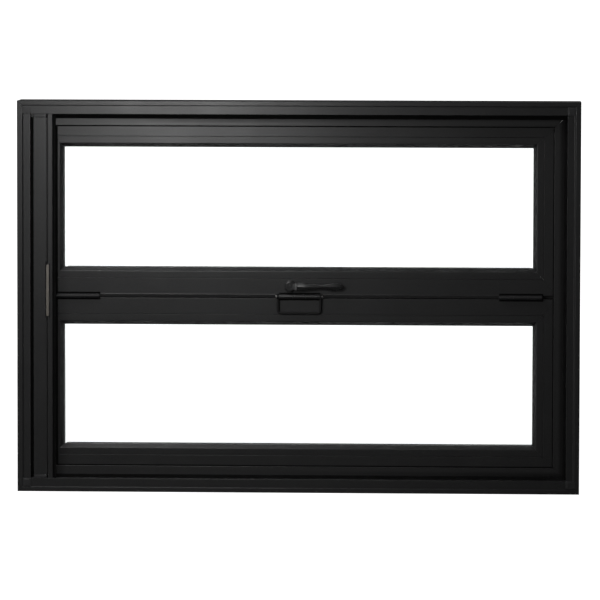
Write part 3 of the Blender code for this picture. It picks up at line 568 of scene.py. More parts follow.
pullLook = {
    "dark": (0.17, 0.155, 0.138), "light": (0.26, 0.24, 0.215), "dull": (0.12, 0.108, 0.095), "tarnish": 0.3,
    "worn": (0.42, 0.39, 0.35), "stretch": (3200.0, 3200.0, 70.0), "rough": (0.30, 0.46), "wear": 0.6,
    "bump": 0.25,
}
clothLook = {
    "pitch": 0.0013, "thread": 0.0003, "gapAlpha": 0.08, "dark": (0.012, 0.012, 0.012),
    "light": (0.04, 0.04, 0.04),
}

powderCoat = coated("powderCoatBlack", powderCoatLook)
hardwareBlack = coated("hardwareBlack", hardwareLook)
hingeBlack = coated("hingeBlack", hingeLook)
bailBlack = coated("bailBlack", bailLook)
# the near-black pile finish, used for painted shade
shadePile = coated("shadePileBlack", shadePileLook)
cornerPlastic = coated("cornerPlasticBlack", cornerLook)
rubber = coated("sealRubber", rubberLook)
nylon = coated("shoeNylon", nylonLook)
steel = brushed("plainSteel", steelLook)
pullMetal = brushed("brushedPull", pullLook)
glass = clearGlass("floatGlass")
cloth = insectCloth("insectCloth", clothLook)
print("finishes made")


# Outer frame

frameSize = {"halfWidth": 700.0, "low": 0.0, "high": 975.0}
frameCut = {  # the u of each wall and the depth of each step; a groove is (u of its floor, front, back)
    "band": 11, "face": 3, "jambFall": (12.4, 16.4), "lip": 33, "barGroove": (28, 5, 14), "recess": 34,
    "stop": 40, "railStop": 62, "railReveal": 41, "jambStop": 65, "jambReveal": 44, "track": (34, 88, 103),
    "sillFall": 60, "back": 115,
}
boltHole = {"left": 525.2, "right": 500.8, "half": 3, "front": 58, "back": 68, "floor": 34}
# painted shade in the recess: the u where it is gone, the width it fades over, its darkest share, and the x
# left of which there is none
shadeSpread = {"gone": 61, "fade": 15, "most": 0.95, "screenSide": -625}


def besidePocket(u, first, second):
    # a point just either side of each edge of a pocket, in the order that the outline passes them
    step = math.copysign(0.1, second - first)
    return [(u, depth + side, 0.05) for depth in (first, second) for side in (-step, step)]


def frameSections(cut):
    # the head, the sill and a jamb: from the raised band in over the lip, recess and stop, and to the back
    face, lip, recess, stop, back = (cut[key] for key in ("face", "lip", "recess", "stop", "back"))
    railReveal, jambReveal = cut["railReveal"], cut["jambReveal"]
    grooveFloor, grooveFront, grooveBack = cut["barGroove"]
    trackFloor, trackFront, trackBack = cut["track"]
    band = [(0, 0, 1.0), (cut["band"], 0, 0.7), (cut["band"] + 1, face, 0.5)]
    jambBand = [(0, 0, 1.0), (cut["jambFall"][0], 0, 0.5), (cut["jambFall"][1], face, 0.5)]
    groove = [(lip, face, 0.6), (lip, grooveFront, 0.3), (grooveFloor, grooveFront, 0.3)]
    groove += [(grooveFloor, grooveBack, 0.3), (lip, grooveBack, 0.5)]
    # the recess's floor has points close together, so the painted shade on it can fade
    floor = [(lip, recess, 0.6)] + [(u, recess, 0.01) for u in range(lip + 3, 58, 3)]
    rail = band + groove + floor
    rail += [(cut["railStop"], recess, 0.9), (cut["railStop"], stop, 0.5), (railReveal, stop, 0.3)]
    jamb = jambBand + [(lip, face, 0.6)] + floor
    jamb += [(cut["jambStop"], recess, 0.9), (cut["jambStop"], stop, 0.5), (jambReveal, stop, 0.3)]
    jamb += besidePocket(jambReveal, boltHole["front"], boltHole["back"])
    jamb += [(jambReveal, trackFront, 0.7), (trackFloor, trackFront, 0.4), (trackFloor, trackBack, 0.4)]
    jamb += [(jambReveal, trackBack, 0.7), (jambReveal, back, 1.0), (0, back, 1.0)]
    head = rail + [(railReveal, back, 1.0), (0, back, 1.0)]
    sill = rail + [(railReveal, cut["sillFall"], 2.0), (lip, back, 1.0), (0, back, 1.0)]
    return head, sill, jamb


headSection, sillSection, jambSection = frameSections(frameCut)
for nodeName, side, section in (
    ("frame_head", "top", headSection),
    ("frame_sill", "bottom", sillSection),
    ("frame_jamb_left", "left", jambSection),
    ("frame_jamb_right", "right", jambSection),
):
    pocket = None
    if side in boltHole:
        low, high = boltHole[side] - boltHole["half"], boltHole[side] + boltHole["half"]
        pocket = (low, high, boltHole["front"], boltHole["back"], frameCut["jambReveal"], boltHole["floor"])
    shell = mitred(section, side, **frameSize, pocket=pocket)
    piece = makePiece(nodeName + "_skin", [shell], "frame", powderCoat, [nodeName])
    # painted shade: the recess floor is darkened in the corner where it meets the lip, and fades out further
    # in
    spot = shell[0]
    inward = np.minimum(frameSize["halfWidth"] - spot[:, 0], spot[:, 2])
    onFloor = np.abs(spot[:, 1] + halfDepth - frameCut["recess"]) < 0.1
    shadedFloor = onFloor & (spot[:, 0] > shadeSpread["screenSide"])
    amount = np.clip((shadeSpread["gone"] - inward) / shadeSpread["fade"], 0, 1) * shadeSpread["most"]
    setValues(piece.data, "paintedShade", shadedFloor * amount)

cornerBlock = {
    "rim": 10.25, "rimRadius": 1.6, "panel": 7.2, "panelRadius": 1.2, "across": 677.25, "top": 952.25,
    "bottom": 22.75,
}
blockLevels = {  # (depth, inset, wear) of each level: a raised rim and a sunk panel
    "rim": [(2.7, 0, 0), (1.6, 0, 0), (1.2, 0.1, 0.8), (0.9, 0.5, 1), (0.8, 1.0, 0.4), (0.8, 1.4, 0)],
    "panel": [(1.2, 0, 0), (0.7, 0, 0), (0.42, 0.15, 0.8), (0.3, 0.5, 0.6), (0.3, 0.9, 0)],
}
for row in ("top", "bottom"):
    for side, sign in (("left", -1), ("right", 1)):
        centre = (sign * cornerBlock["across"], cornerBlock[row])
        shells = []
        for part, levels in blockLevels.items():
            outline = roundedBox(cornerBlock[part], cornerBlock[part], cornerBlock[part + "Radius"], centre)
            shells.append(slab(outline, levels, alongDepth))
        nodeName = f"corner_block_{row}_{side}"
        makePiece(nodeName + "_moulding", shells, "frame", cornerPlastic, [nodeName])

stopSeal = {"halfWidth": 640.0, "low": 57.0, "high": 918.0}
sealSection = [
    (0, 40.3, 0.3), (0, 42.2, 0.8), (2, 42.5, 0.6), (4.4, 41.9, 0.4), (7.6, 42.5, 0.3), (7.8, 41.5, 0.4),
    (4, 40.3, 0.6),
]
# the stop's gasket is a real seal; its near-black pile finish also paints the dark shade line at the sash's
# edge
shell = roundRing(sealSection, **stopSeal)
makePiece("frame_gasket_bulb", [shell], "frame", shadePile, ["frame_gasket"])

# painted shade: near-black pile strips line the recess round the opening, against the lip, standing in for
# the shade there: where each starts and ends, and its inner u
shadePileRuns = {"top": (-628.6, 666.7, 45.0), "bottom": (-628.6, 666.7, 41.2), "right": (41.4, 929.8, 41.2)}
for side, (start, end, wide) in shadePileRuns.items():
    section = [(33.2, 26, 0.5), (35.5, 27, 1), (wide - 1.2, 31, 1.5), (wide, 33.8, 0.2), (33.2, 33.8, 0.1)]
    strip = runAlong([section], sidePlace(side, **frameSize)[0], start, end)
    makePiece(f"frame_shade_pile_{side}", [strip], "frame", shadePile)
# painted shade: a near-black strip fills the groove between the left jamb and the screen housing, standing
# in for its shade
housingShadePile = {"wall": 33.15, "housing": 40.85, "front": 17, "back": 34, "low": 42.0, "high": 933.0}
section = [
    (housingShadePile["wall"], housingShadePile["front"], 0.6), (housingShadePile["housing"], housingShadePile["front"], 0.6),
    (housingShadePile["housing"], housingShadePile["back"], 0.1), (housingShadePile["wall"], housingShadePile["back"], 0.1),
]
strip = runAlong([section], sidePlace("left", **frameSize)[0], housingShadePile["low"], housingShadePile["high"])
makePiece("frame_shade_pile_left", [strip], "frame", shadePile)
print("outer frame made")


# Sashes

# each member is a box behind its face, with a flange behind the glass
sashCut = {
    "halfWidth": 648.0, "front": 43, "back": 89, "wall": 2.5, "flange": 27, "flangeFront": 85, "fitGap": 0.3,
    "sealIn": 21,
}
sashes = {  # where each starts and ends, and the width of each member's box
    "lower": {"low": 51.0, "high": 483.0, "bottom": 38.0, "top": 40.5, "left": 33.5, "right": 38.0},
    "upper": {"low": 492.0, "high": 924.0, "bottom": 40.5, "top": 38.0, "left": 33.5, "right": 38.0},
}
boltSlot = {"half": 2.6, "front": 57.5, "back": 68.5, "floor": 2.4}
glassUnit = {"halfWidth": 602.0, "edge": 46, "pane": 4, "fronts": (60.5, 80.5), "bevel": 0.6, "radius": 2.0}
beadSection = [
    (0, 43.3, 0.5), (17, 43.3, 0.9), (26.7, 54, 0.8), (26.7, 58, 0.4), (24.3, 58, 0.4),
    (24.3, 55, 0.5), (16, 46, 0.5), (2, 46, 0.4), (2, 58, 0.3), (0, 58, 0.3),
]
glazingSection = [(0, 58.5, 0.2), (6, 58.4, 0.7), (6, 60.1, 0.5), (0, 60.1, 0.2)]
spacerSection = [(0.4, 64.6, 0.2), (9, 64.6, 0.4), (9, 80.4, 0.4), (0.4, 80.4, 0.2)]
# painted shade: a near-black strip on each left stile's face stands in for the shadow beside the pull bar
stileShadePileSection = [(34.6, 42.1, 0.3), (46.2, 42.1, 0.4), (46.2, 43.2, 0.1), (34.6, 43.2, 0.1)]


def sashSection(width):
    # the outside of a member as wide as this, and the hollow in its box
    front, back, wall = sashCut["front"], sashCut["back"], sashCut["wall"]
    inner, flangeFront = width + sashCut["flange"], sashCut["flangeFront"]
    outer = [(0, front, 0.8), (width, front, 0.6), (width, flangeFront, 0.3), (inner, flangeFront, 0.5)]
    outer += [(inner, back, 0.8), (0, back, 0.8)]
    hollow = [(wall, front + wall, 0.3), (width - wall, front + wall, 0.3)]
    hollow += [(width - wall, back - wall, 0.3), (wall, back - wall, 0.3)]
    return outer, hollow


for prefix, sash in sashes.items():
    low, high, body, gap = sash["low"], sash["high"], prefix + "_sash", sashCut["fitGap"]
    openHalf = sashCut["halfWidth"] - (sash["left"] + sash["right"]) / 2
    middle = (sash["left"] - sash["right"]) / 2
    openLow, openHigh = low + sash["bottom"], high - sash["top"]
    for side, kind in (("top", "rail"), ("bottom", "rail"), ("left", "stile"), ("right", "stile")):
        outer, hollow = sashSection(sash[side])
        pocket = None
        if prefix == "upper" and kind == "stile":
            outer += besidePocket(0, boltSlot["back"], boltSlot["front"])
            slotLow, slotHigh = boltHole[side] - boltSlot["half"], boltHole[side] + boltSlot["half"]
            pocket = (slotLow, slotHigh, boltSlot["front"], boltSlot["back"], 0.0, boltSlot["floor"])
        nodeName = f"{prefix}_{kind}_{side}"
        shell = mitred(outer, side, sashCut["halfWidth"], low, high, hollows=[hollow], pocket=pocket)
        makePiece(nodeName + "_skin", [shell], body, powderCoat, [nodeName])
        nodeName = f"{prefix}_bead_{side}"
        shell = mitred(beadSection, side, openHalf - gap, openLow + gap, openHigh - gap, middle=middle)
        makePiece(nodeName + "_skin", [shell], body, powderCoat, [nodeName])
    sealIn = sashCut["sealIn"]
    ring = roundRing(glazingSection, openHalf - sealIn, openLow + sealIn, openHigh - sealIn, middle)
    makePiece(f"{prefix}_glazing_seal", [ring], body, rubber, [f"{prefix}_glazing_gasket"])
    edge = glassUnit["edge"]
    halfHigh = (high - low) / 2 - edge
    outline = roundedBox(glassUnit["halfWidth"], halfHigh, glassUnit["radius"], (0, (low + high) / 2), 4)
    thick, bevel = glassUnit["pane"], glassUnit["bevel"]
    paneLevels = np.array([(0, bevel, 0), (bevel, 0, 0), (thick - bevel, 0, 0), (thick, bevel, 0)])
    panes = [slab(outline, paneLevels + (front, 0, 0), alongDepth) for front in glassUnit["fronts"]]
    makePiece(f"{prefix}_panes", panes, body, glass, [f"{prefix}_glass"], sharp=30)
    # painted shade: the near-black strip along the left stile, beside the pull bar
    put = sidePlace("left", sashCut["halfWidth"], low, high)[0]
    strip = runAlong([stileShadePileSection], put, low + 1, high - 1)
    makePiece(f"{prefix}_stile_pile", [strip], body, shadePile)
    ring = roundRing(spacerSection, glassUnit["halfWidth"], low + edge, high - edge)
    makePiece(f"{prefix}_pane_spacer", [ring], body, rubber)
print("sashes made")


# Hinges

meetingAxis, topAxis = (35.8, 487.5), (95.5, 918.0)


def hingeShells(axis, radius, bore, knuckles, plates):
    # each knuckle is a tube and each plate a rounded bar, all in line with X
    shells = [barrel(start, end, radius, bore, alongX, axis) for start, end in knuckles]
    return shells + [runAlong([section], alongX, start, end, steps=2) for section, start, end in plates]


def knuckleRuns(centre, length, count, own, gap=0.15):
    # where every second knuckle starts and ends, with a gap at each side that has a neighbour
    ends = centre - length / 2 + length / count * np.arange(count + 1)
    ends = [(float(a), float(b)) for a, b in zip(ends[:-1], ends[1:])]
    first, last = ends[0][0], ends[-1][1]
    return [(a + gap * (a > first + 1), b - gap * (b < last - 1)) for a, b in ends[own::2]]


def bothEnds(half, centre=0.0):
    # one half of a turned profile and its mirror image about the centre
    return half + [(2 * centre - position, radius, soft) for position, radius, soft in half[::-1]]


def screwHead(centre, toPlace, level, up, radius=3.6):
    # a low domed head with a cross-shaped recess pressed in: the inner rings sink along the cross's arms
    angle = np.arange(48) * 2 * np.pi / 48
    ring = np.array([1.0, 1.0, 0.94, 0.8, 0.6, 0.52, 0.42, 0.3, 0.16, 0.05]) * radius
    rise = np.array([0, 0.45, 0.85, 1.15, 1.35, 1.4, 1.43, 1.45, 1.45, 1.45])
    arms = np.clip(1.6 - 5.0 * np.abs(ring[:, None] / radius * np.sin(2 * angle)[None, :] / 2), 0, 1)
    depth = np.where(ring[:, None] < 0.58 * radius, arms, 0) * 0.9
    a = centre[0] + ring[:, None] * np.cos(angle)
    b = centre[1] + ring[:, None] * np.sin(angle)
    return gridShell(toPlace(a, b, level + up * (rise[:, None] - depth)), np.linspace(0.6, 0, 10)[:, None])


seamHinges = {
    "left": {"centre": -551.0, "length": 105.0, "pin": 52.5, "radius": 5.8},
    "centre": {"centre": 1.6, "length": 99.0, "pin": 56.6, "radius": 6.6},
    "right": {"centre": 553.0, "length": 105.0, "pin": 52.5, "radius": 5.8},
}
seamLeaf = {
    "near": 1.5, "far": 4.2, "front": 42.95, "back": 60, "neckFront": 38, "neckBack": 43.6, "bore": 3.2,
}
# painted shade: near-black strips just above and below each seam hinge stand in for the shade round its
# barrel
hingeShadeStrip = {"near": 4.6, "far": 9.6, "front": 42.2, "back": 43.1}
for which, hinge in seamHinges.items():
    leafFinish, knobFinish = (hardwareBlack, steel) if which == "centre" else (hingeBlack, hingeBlack)
    centre, length = hinge["centre"], hinge["length"]
    start, end = centre - length / 2, centre + length / 2
    for leaf, up, own in (("upper", 1, 1), ("lower", -1, 0)):
        body = leaf + "_sash"
        knuckles = knuckleRuns(centre, length, 3, own)
        near, far = (meetingAxis[1] + up * seamLeaf[key] for key in ("near", "far"))
        front, back = seamLeaf["front"], seamLeaf["back"]
        section = [(front, near, 0.3), (back, near, 0.5), (back, far, 0.5), (front, far, 0.3)]
        front, back = seamLeaf["neckFront"], seamLeaf["neckBack"]
        neck = [(front, near, 0.3), (back, near, 0.3), (back, far, 0.3), (front, far, 0.3)]
        plates = [(section, start, end)] + [(neck, a + 0.3, b - 0.3) for a, b in knuckles]
        nodeName = f"seam_hinge_{which}_{leaf}_leaf"
        shells = hingeShells(meetingAxis, hinge["radius"], seamLeaf["bore"], knuckles, plates)
        makePiece(nodeName + "_fine", shells, body, leafFinish, [nodeName])
        # painted shade: the near-black strip beside this leaf's barrel
        low, high = sorted(meetingAxis[1] + up * hingeShadeStrip[key] for key in ("near", "far"))
        front, back = hingeShadeStrip["front"], hingeShadeStrip["back"]
        section = [(front, low, 0.2), (front, high, 0.2), (back, high, 0.1), (back, low, 0.1)]
        shell = runAlong([section], alongX, start - 1, end + 3)
        makePiece(f"seam_hinge_{which}_{leaf}_packer", [shell], body, shadePile)
    tip = centre - hinge["pin"]
    knob = [(tip - 2.4, 0.01, 0), (tip - 2.4, 3.4, 1.0), (tip - 1.2, 4, 0.5), (tip, 4, 0.3), (tip, 3, 0.1)]
    shell = turned(softRound(bothEnds(knob, centre)), alongX, meetingAxis, 32)
    nodeName = f"seam_hinge_{which}_pin"
    makePiece(nodeName + "_fine", [shell], "lower_sash", knobFinish, [nodeName])

topHinge = {"length": 1200.0, "knuckles": 9, "radius": 5.8, "bore": 3.2, "screws": 9, "screwSpan": 1110.0}
topLeaves = {  # the plate and the neck of each leaf, as (depth, z, radius)
    "sash": [
        [(89.3, 880, 0.6), (91.5, 880, 0.6), (91.5, 905.4, 0.3), (89.3, 905.4, 0.3)],
        [(89.3, 905, 0.2), (91.5, 905, 0.2), (95, 913.2, 0.4), (93.6, 914.6, 0.4), (89.3, 912, 0.6)],
    ],
    "frame": [
        [(97.0, 931.2, 0.3), (112.5, 931.2, 0.6), (112.5, 933.7, 0.6), (97.0, 933.7, 0.3)],
        [(97.0, 922.6, 0.3), (99.5, 921.2, 0.3), (99.5, 931.6, 0.3), (97.0, 931.6, 0.3)],
    ],
}
half = topHinge["length"] / 2
for leaf, own, body in (("sash", 1, "upper_sash"), ("frame", 0, "frame")):
    plate, neck = topLeaves[leaf]
    knuckles = knuckleRuns(0.0, topHinge["length"], topHinge["knuckles"], own)
    plates = [(plate, -half, half)] + [(neck, a + 0.2, b - 0.2) for a, b in knuckles]
    shells = hingeShells(topAxis, topHinge["radius"], topHinge["bore"], knuckles, plates)
    nodeName = f"top_hinge_{leaf}_leaf"
    makePiece(nodeName + "_fine", shells, body, hardwareBlack, [nodeName])
across = np.linspace(-topHinge["screwSpan"] / 2, topHinge["screwSpan"] / 2, topHinge["screws"])
screws = [screwHead((float(x), 891.0), alongDepth, 91.3, 1) for x in across]
makePiece("top_hinge_screws", screws, "upper_sash", steel)
pin = [(-half - 2, 0.01, 0), (-half - 2, 4, 0.5), (-half - 0.3, 4, 0.2), (-half - 0.3, 3, 0.1)]
shell = turned(softRound(bothEnds(pin)), alongX, topAxis, 32)
makePiece("top_hinge_pin_fine", [shell], "frame", steel, ["top_hinge_pin"])
print("hinges made")


# Bail, guides, lever

bail = {
    "left": -51.45, "right": 54.65, "start": 4.9, "low": 446.5, "bend": 8.0, "rod": 3.2, "eye": 6.2,
    "bore": 3.3, "wide": 6.4,
}
# a rod down from one eye, round a quarter circle, across, and up to the other eye
turn = np.radians(np.linspace(0, 90, 13))
bendX = bail["left"] + bail["bend"] * (1 - np.cos(turn))
bendZ = bail["low"] + bail["bend"] * (1 - np.sin(turn))
leftBend = np.column_stack([bendX, bendZ])
rightBend = np.column_stack([bail["left"] + bail["right"] - bendX[::-1], bendZ[::-1]])
legs = np.linspace(meetingAxis[1] - bail["start"], bail["low"] + bail["bend"] + 1, 8)
straight = np.linspace(bendX[-1] + 1, rightBend[0, 0] - 1, 12)
path = np.concatenate([
    np.column_stack([np.full(8, bail["left"]), legs]), leftBend,
    np.column_stack([straight, np.full(12, bail["low"])]), rightBend,
    np.column_stack([np.full(8, bail["right"]), legs[::-1]]),
])
path = np.column_stack([path[:, 0], np.full(len(path), meetingAxis[0]), path[:, 1]])
shells = [tube(path, bail["rod"])]
for x in (bail["left"], bail["right"]):
    start, end = x - bail["wide"] / 2, x + bail["wide"] / 2
    shells.append(barrel(start, end, bail["eye"], bail["bore"], alongX, meetingAxis))
makePiece("pull_bail_fine", shells, "bail", bailBlack, ["pull_bail"])

guide = {  # pairs along X run outwards from the middle of the window
    "axis": (95.5, 57.0), "bracket": (600, 642), "pin": (636, 664), "pinRadius": 3.0, "screwX": 621,
    "screwZ": (80.0, 104.0), "shoe": (655, 665.4), "shoeHalf": (6.9, 6.5), "shoeRadius": 1.5,
}
bracketSection = [
    (89.3, 52, 0.5), (100.5, 52, 0.8), (100.5, 62, 0.8), (92.3, 66, 1.5), (92.3, 117, 0.8), (89.3, 117, 0.5),
]
for side, sign in (("left", -1), ("right", 1)):
    start, end = sorted(sign * x for x in guide["bracket"])
    shells = [runAlong([bracketSection], alongX, start, end)]
    a, b = sorted(sign * x for x in guide["pin"])
    pin = [(a, 0.01, 0), (a, guide["pinRadius"], 0.5), (b, guide["pinRadius"], 0.5), (b, 0.01, 0)]
    shells.append(turned(softRound(pin), alongX, guide["axis"], 24))
    shells += [screwHead((sign * guide["screwX"], z), alongDepth, 92.1, 1) for z in guide["screwZ"]]
    nodeName = f"guide_bracket_{side}"
    makePiece(nodeName + "_fine", shells, "lower_sash", hardwareBlack, [nodeName])
    a, b = sorted(sign * x for x in guide["shoe"])
    levels = [(a, 0.5, 0), (a + 0.5, 0, 1), (a + 1.2, 0, 0), (b - 1.2, 0, 0), (b - 0.5, 0, 1), (b, 0.5, 0)]
    shell = slab(roundedBox(*guide["shoeHalf"], guide["shoeRadius"], guide["axis"]), levels, alongX)
    nodeName = f"guide_shoe_{side}"
    makePiece(nodeName + "_fine", [shell], nodeName, nylon, [nodeName])

lever = {
    "hub": (-21.0, 513.0), "shoulder": 17, "smooth": 3.0,
    "arm": [  # reach along the arm, half its height, the depth of its ridge and of its back
        (4, 7.5, 28, 33), (10.8, 9.2, 26.5, 33), (11.6, 10, 23.2, 33), (17, 10.4, 21.4, 32.5),
        (35, 9.8, 20.5, 31), (48, 8.6, 20.5, 30.2), (61.5, 7, 20.6, 29.6), (74, 5.8, 20.8, 29),
        (85, 6.4, 21, 28.8), (96, 8.6, 21.2, 28.6), (107, 10, 21.6, 28.6), (118, 9.8, 22.1, 28.5),
        (126, 8, 22.8, 28.2), (131, 5.2, 23.6, 27.6), (134, 2, 24.6, 26.6),
    ],
    "cap": [  # depth, radius and corner radius: a shallow ring round the screw's cover, then the hub's side
        (27.5, 0.01, 0), (27.5, 4.2, 0.3), (27.8, 4.6, 0.2), (27.8, 5.2, 0.2), (27.5, 5.6, 0.3),
        (27.5, 10.6, 0.5), (28.2, 11.4, 0.4), (39.7, 11.4, 0.3), (39.7, 0.01, 0),
    ],
    "rosette": [
        (40.0, 0.01, 0), (40.0, 11.6, 0.3), (40.6, 12.4, 0.3), (40.5, 14.0, 0.8), (41.4, 15, 0.7),
        (42.7, 15, 0.2), (42.7, 0.01, 0),
    ],
}


def leverRings(arm, axisZ, steps=4):
    # at each reach a section with a ridge down its front, its corners rounded by a fixed share of each side.
    # Past the shoulder each measure is averaged with its neighbours, which turns straight runs into curves.
    reach = np.linspace(arm[0, 0], arm[-1, 0], 240)
    reach = np.unique(np.concatenate([reach, arm[:4, 0]]))
    near = np.exp(-(((reach[:, None] - reach[None]) / lever["smooth"]) ** 2))
    near /= near.sum(axis=1)[:, None]
    pastShoulder = reach - lever["shoulder"]
    blend = np.clip((pastShoulder - 1) / 8, 0, 1) * np.clip((arm[-1, 0] - reach) / 5, 0, 1)
    half, front, back = (np.interp(reach, arm[:, 0], arm[:, k]) for k in (1, 2, 3))
    half, front, back = (value + (near @ value - value) * blend for value in (half, front, back))
    soft = 0.2 + (np.minimum(2.0, (back - front) * 0.28) - 0.2) * np.clip(pastShoulder, 0, 1)
    depth = [front, front + soft, front + 2.6 * soft, back, back, front + 2.6 * soft, front + soft]
    high = [0 * half, 0.76 * half, half, 0.78 * half, -0.78 * half, -half, -0.76 * half]
    p = np.stack([np.stack(depth, axis=-1), np.stack(high, axis=-1) + axisZ], axis=-1)
    share = np.array([0.06, 0.3, 0.4, 0.3, 0.3, 0.4, 0.3])[None, :, None]
    before = p + (np.roll(p, 1, axis=1) - p) * share
    after = p + (np.roll(p, -1, axis=1) - p) * share
    s = np.linspace(0, 1, steps + 1)[None, None, :, None]
    curve = (1 - s) ** 2 * before[:, :, None] + 2 * s * (1 - s) * p[:, :, None] + s**2 * after[:, :, None]
    curve = curve.reshape(len(reach), -1, 2)
    wear = np.repeat([0.8, 0.3, 0.4, 0, 0, 0.4, 0.3], steps + 1)
    return reach, curve, wear


hub = lever["hub"]
reach, curve, wear = leverRings(np.array(lever["arm"]), hub[1])
arm = gridShell(place(hub[0] + reach[:, None], curve[..., 0], curve[..., 1]), wear[None])
shells = [arm, turned(softRound(lever["cap"]), alongDepth, hub, 64)]
makePiece("lever_handle_fine", shells, "lever", hardwareBlack, ["lever_handle"], sharp=32)
shell = turned(softRound(lever["rosette"]), alongDepth, hub, 64)
makePiece("lever_rosette_fine", [shell], "upper_sash", hardwareBlack, ["lever_rosette"])
print("handles and guides made")


# Insect screen

housing = {
    "low": 42.1, "high": 932.9, "lips": ((42.2, 430.0), (574.0, 932.8)),
    "section": [
        (-629, 7.6, 0.3), (-629, 2, 1.2), (-659, 2, 1.2), (-659, 32, 1.2), (-629, 32, 1.2),
        (-629, 11.4, 0.3), (-630.6, 11.4, 0.3), (-630.6, 30.4, 0.5), (-657.4, 30.4, 0.5),
        (-657.4, 3.6, 0.5), (-630.6, 3.6, 0.5), (-630.6, 7.6, 0.3),
    ],
    "lipSection": [(-629.5, 2.1, 0.2), (-626.5, 2.1, 0.5), (-626.5, 4.0, 0.5), (-629.5, 4.0, 0.2)],
}
shells = [runAlong([housing["section"]], alongZ, housing["low"], housing["high"])]
shells += [runAlong([housing["lipSection"]], alongZ, low, high) for low, high in housing["lips"]]
makePiece("screen_housing_fine", shells, "frame", powderCoat, ["screen_housing"])

endCap = {
    "half": (16.2, 15.0), "radius": 1.6, "centre": (-642.8, 17.0), "bottom": (33.3, 41.8),
    "top": (933.2, 941.7),
}
for row in ("bottom", "top"):
    low, high = endCap[row]
    levels = [(low, 0.8, 0), (low + 0.3, 0.2, 1), (low + 0.9, 0, 0.2)]
    levels += [(high - 0.9, 0, 0.2), (high - 0.3, 0.2, 1), (high, 0.8, 0)]
    shell = slab(roundedBox(*endCap["half"], endCap["radius"], endCap["centre"]), levels, alongZ)
    nodeName = f"screen_cap_{row}"
    makePiece(nodeName + "_fine", [shell], "frame", cornerPlastic, [nodeName])

pullBar = {
    "low": 29.5, "high": 945.5, "brushLow": 34.0, "brushHigh": 941.0,
    "outside": [(-624, 5.5, 0.9), (-612.5, 5.5, 0.9), (-612.5, 13.5, 0.9), (-624, 13.5, 0.9)],
    "hollow": [(-622.4, 7.1, 0.3), (-614.1, 7.1, 0.3), (-614.1, 11.9, 0.3), (-622.4, 11.9, 0.3)],
    "brush": [
        (-612.7, 8.2, 0.3), (-606, 8.4, 0.8), (-603.5, 9.9, 0.9), (-606, 11.3, 0.8), (-612.7, 11.5, 0.3),
    ],
}
shell = runAlong([pullBar["outside"], pullBar["hollow"]], alongZ, pullBar["low"], pullBar["high"])
nodeName = "screen_pull_bar"
makePiece(nodeName + "_fine", [shell], "screen_bar", powderCoat, [nodeName])
# a brush on the bar's right side, in the near-black pile so that it also paints the shade in the gap beside
# the bar
shell = runAlong([pullBar["brush"]], alongZ, pullBar["brushLow"], pullBar["brushHigh"])
makePiece("screen_bar_brush_shade", [shell], "screen_bar", shadePile)

pull = {
    "low": 438.0, "high": 567.0, "half": 3.4, "middle": -624.4, "past": 2.5,
    "levels": [(5.2, 0, 0), (3.9, 0, 0), (3.6, 0.06, 1), (3.45, 0.2, 1), (3.4, 0.45, 0.3), (3.4, 0.8, 0)],
    "lipSection": [(-620.9, 0.6, 0.6), (-619.0, 0.6, 0.6), (-619.0, 5.3, 0.3), (-620.9, 5.3, 0.3)],
}
# a long plate with a half circle at each end, and the lip that the fingers catch. The lip is dark so that it
# also paints the shade line along the plate's right side
turn = np.linspace(0, np.pi, 17)
lowX, lowZ = pull["middle"] - pull["half"] * np.cos(turn), pull["low"] + pull["half"] * (1 - np.sin(turn))
lowEnd = np.column_stack([lowX, lowZ])
highEnd = np.column_stack([lowX[::-1], pull["low"] + pull["high"] - lowZ[::-1]])
plate = slab(np.concatenate([lowEnd, highEnd]), pull["levels"], alongDepth)
nodeName = "screen_finger_pull"
makePiece(nodeName + "_fine", [plate], "screen_bar", pullMetal, [nodeName])
# painted shade: the dark lip stands in for the shade line along the pull's right side
shell = runAlong([pull["lipSection"]], alongZ, pull["low"] - pull["past"], pull["high"] + pull["past"])
makePiece("screen_pull_lip_shade", [shell], "screen_bar", bailBlack)

clothRun = {  # (x, depth) where the cloth leaves the roller, passes the slot and ends at the bar
    "roll": (-640.07, 5.66), "slot": (-629.0, 9.5), "end": (-624.3, 9.5), "low": 43.8, "high": 931.2,
    "thick": 0.2,
}
stopX, stopDepth = np.array([clothRun[key] for key in ("roll", "slot", "end")]).T
x = np.concatenate([np.linspace(stopX[0], stopX[1], 6)[:-1], np.linspace(stopX[1], stopX[2], 41)])
depth = np.interp(x, stopX, stopDepth)
z = np.linspace(clothRun["low"], clothRun["high"], 61)
half = clothRun["thick"] / 2
front, back = (place(x[None], depth[None] + away, z[:, None]) for away in (-half, half))
rings = np.concatenate([front, back[:, ::-1]], axis=1)
piece = makePiece("screen_mesh_fine", [gridShell(rings)], None, cloth, ["screen_mesh"])
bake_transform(piece)

seamSeal = {  # the runs stop short of the hinges
    "runs": [(-642.0, -606.0), (-496.0, -50.0), (52.0, 498.0), (608.0, 642.0)],
    "section": [
        (56, 491.7, 0.2), (50, 491.7, 0.4), (49.4, 490.4, 0.5), (50.2, 485.2, 1.6), (53, 483.9, 1.6),
        (56, 485.2, 1.2),
    ],
}
seamCover = {
    "runs": [(-497.0, -56.4), (59.6, 499.0)],
    "section": [
        (44, 494.4, 0.2), (42.4, 493.4, 0.5), (42.2, 491.8, 0.8), (43.6, 484.8, 0.5), (45.4, 484.5, 0.4),
        (46, 491.8, 0.2), (44, 491.9, 0.1),
    ],
}
shells = [runAlong([seamSeal["section"]], alongX, a, b) for a, b in seamSeal["runs"]]
makePiece("meeting_seal_bulb", shells, "upper_sash", rubber)
shells = [runAlong([seamCover["section"]], alongX, a, b) for a, b in seamCover["runs"]]
makePiece("seam_cover_strip", shells, "upper_sash", powderCoat)
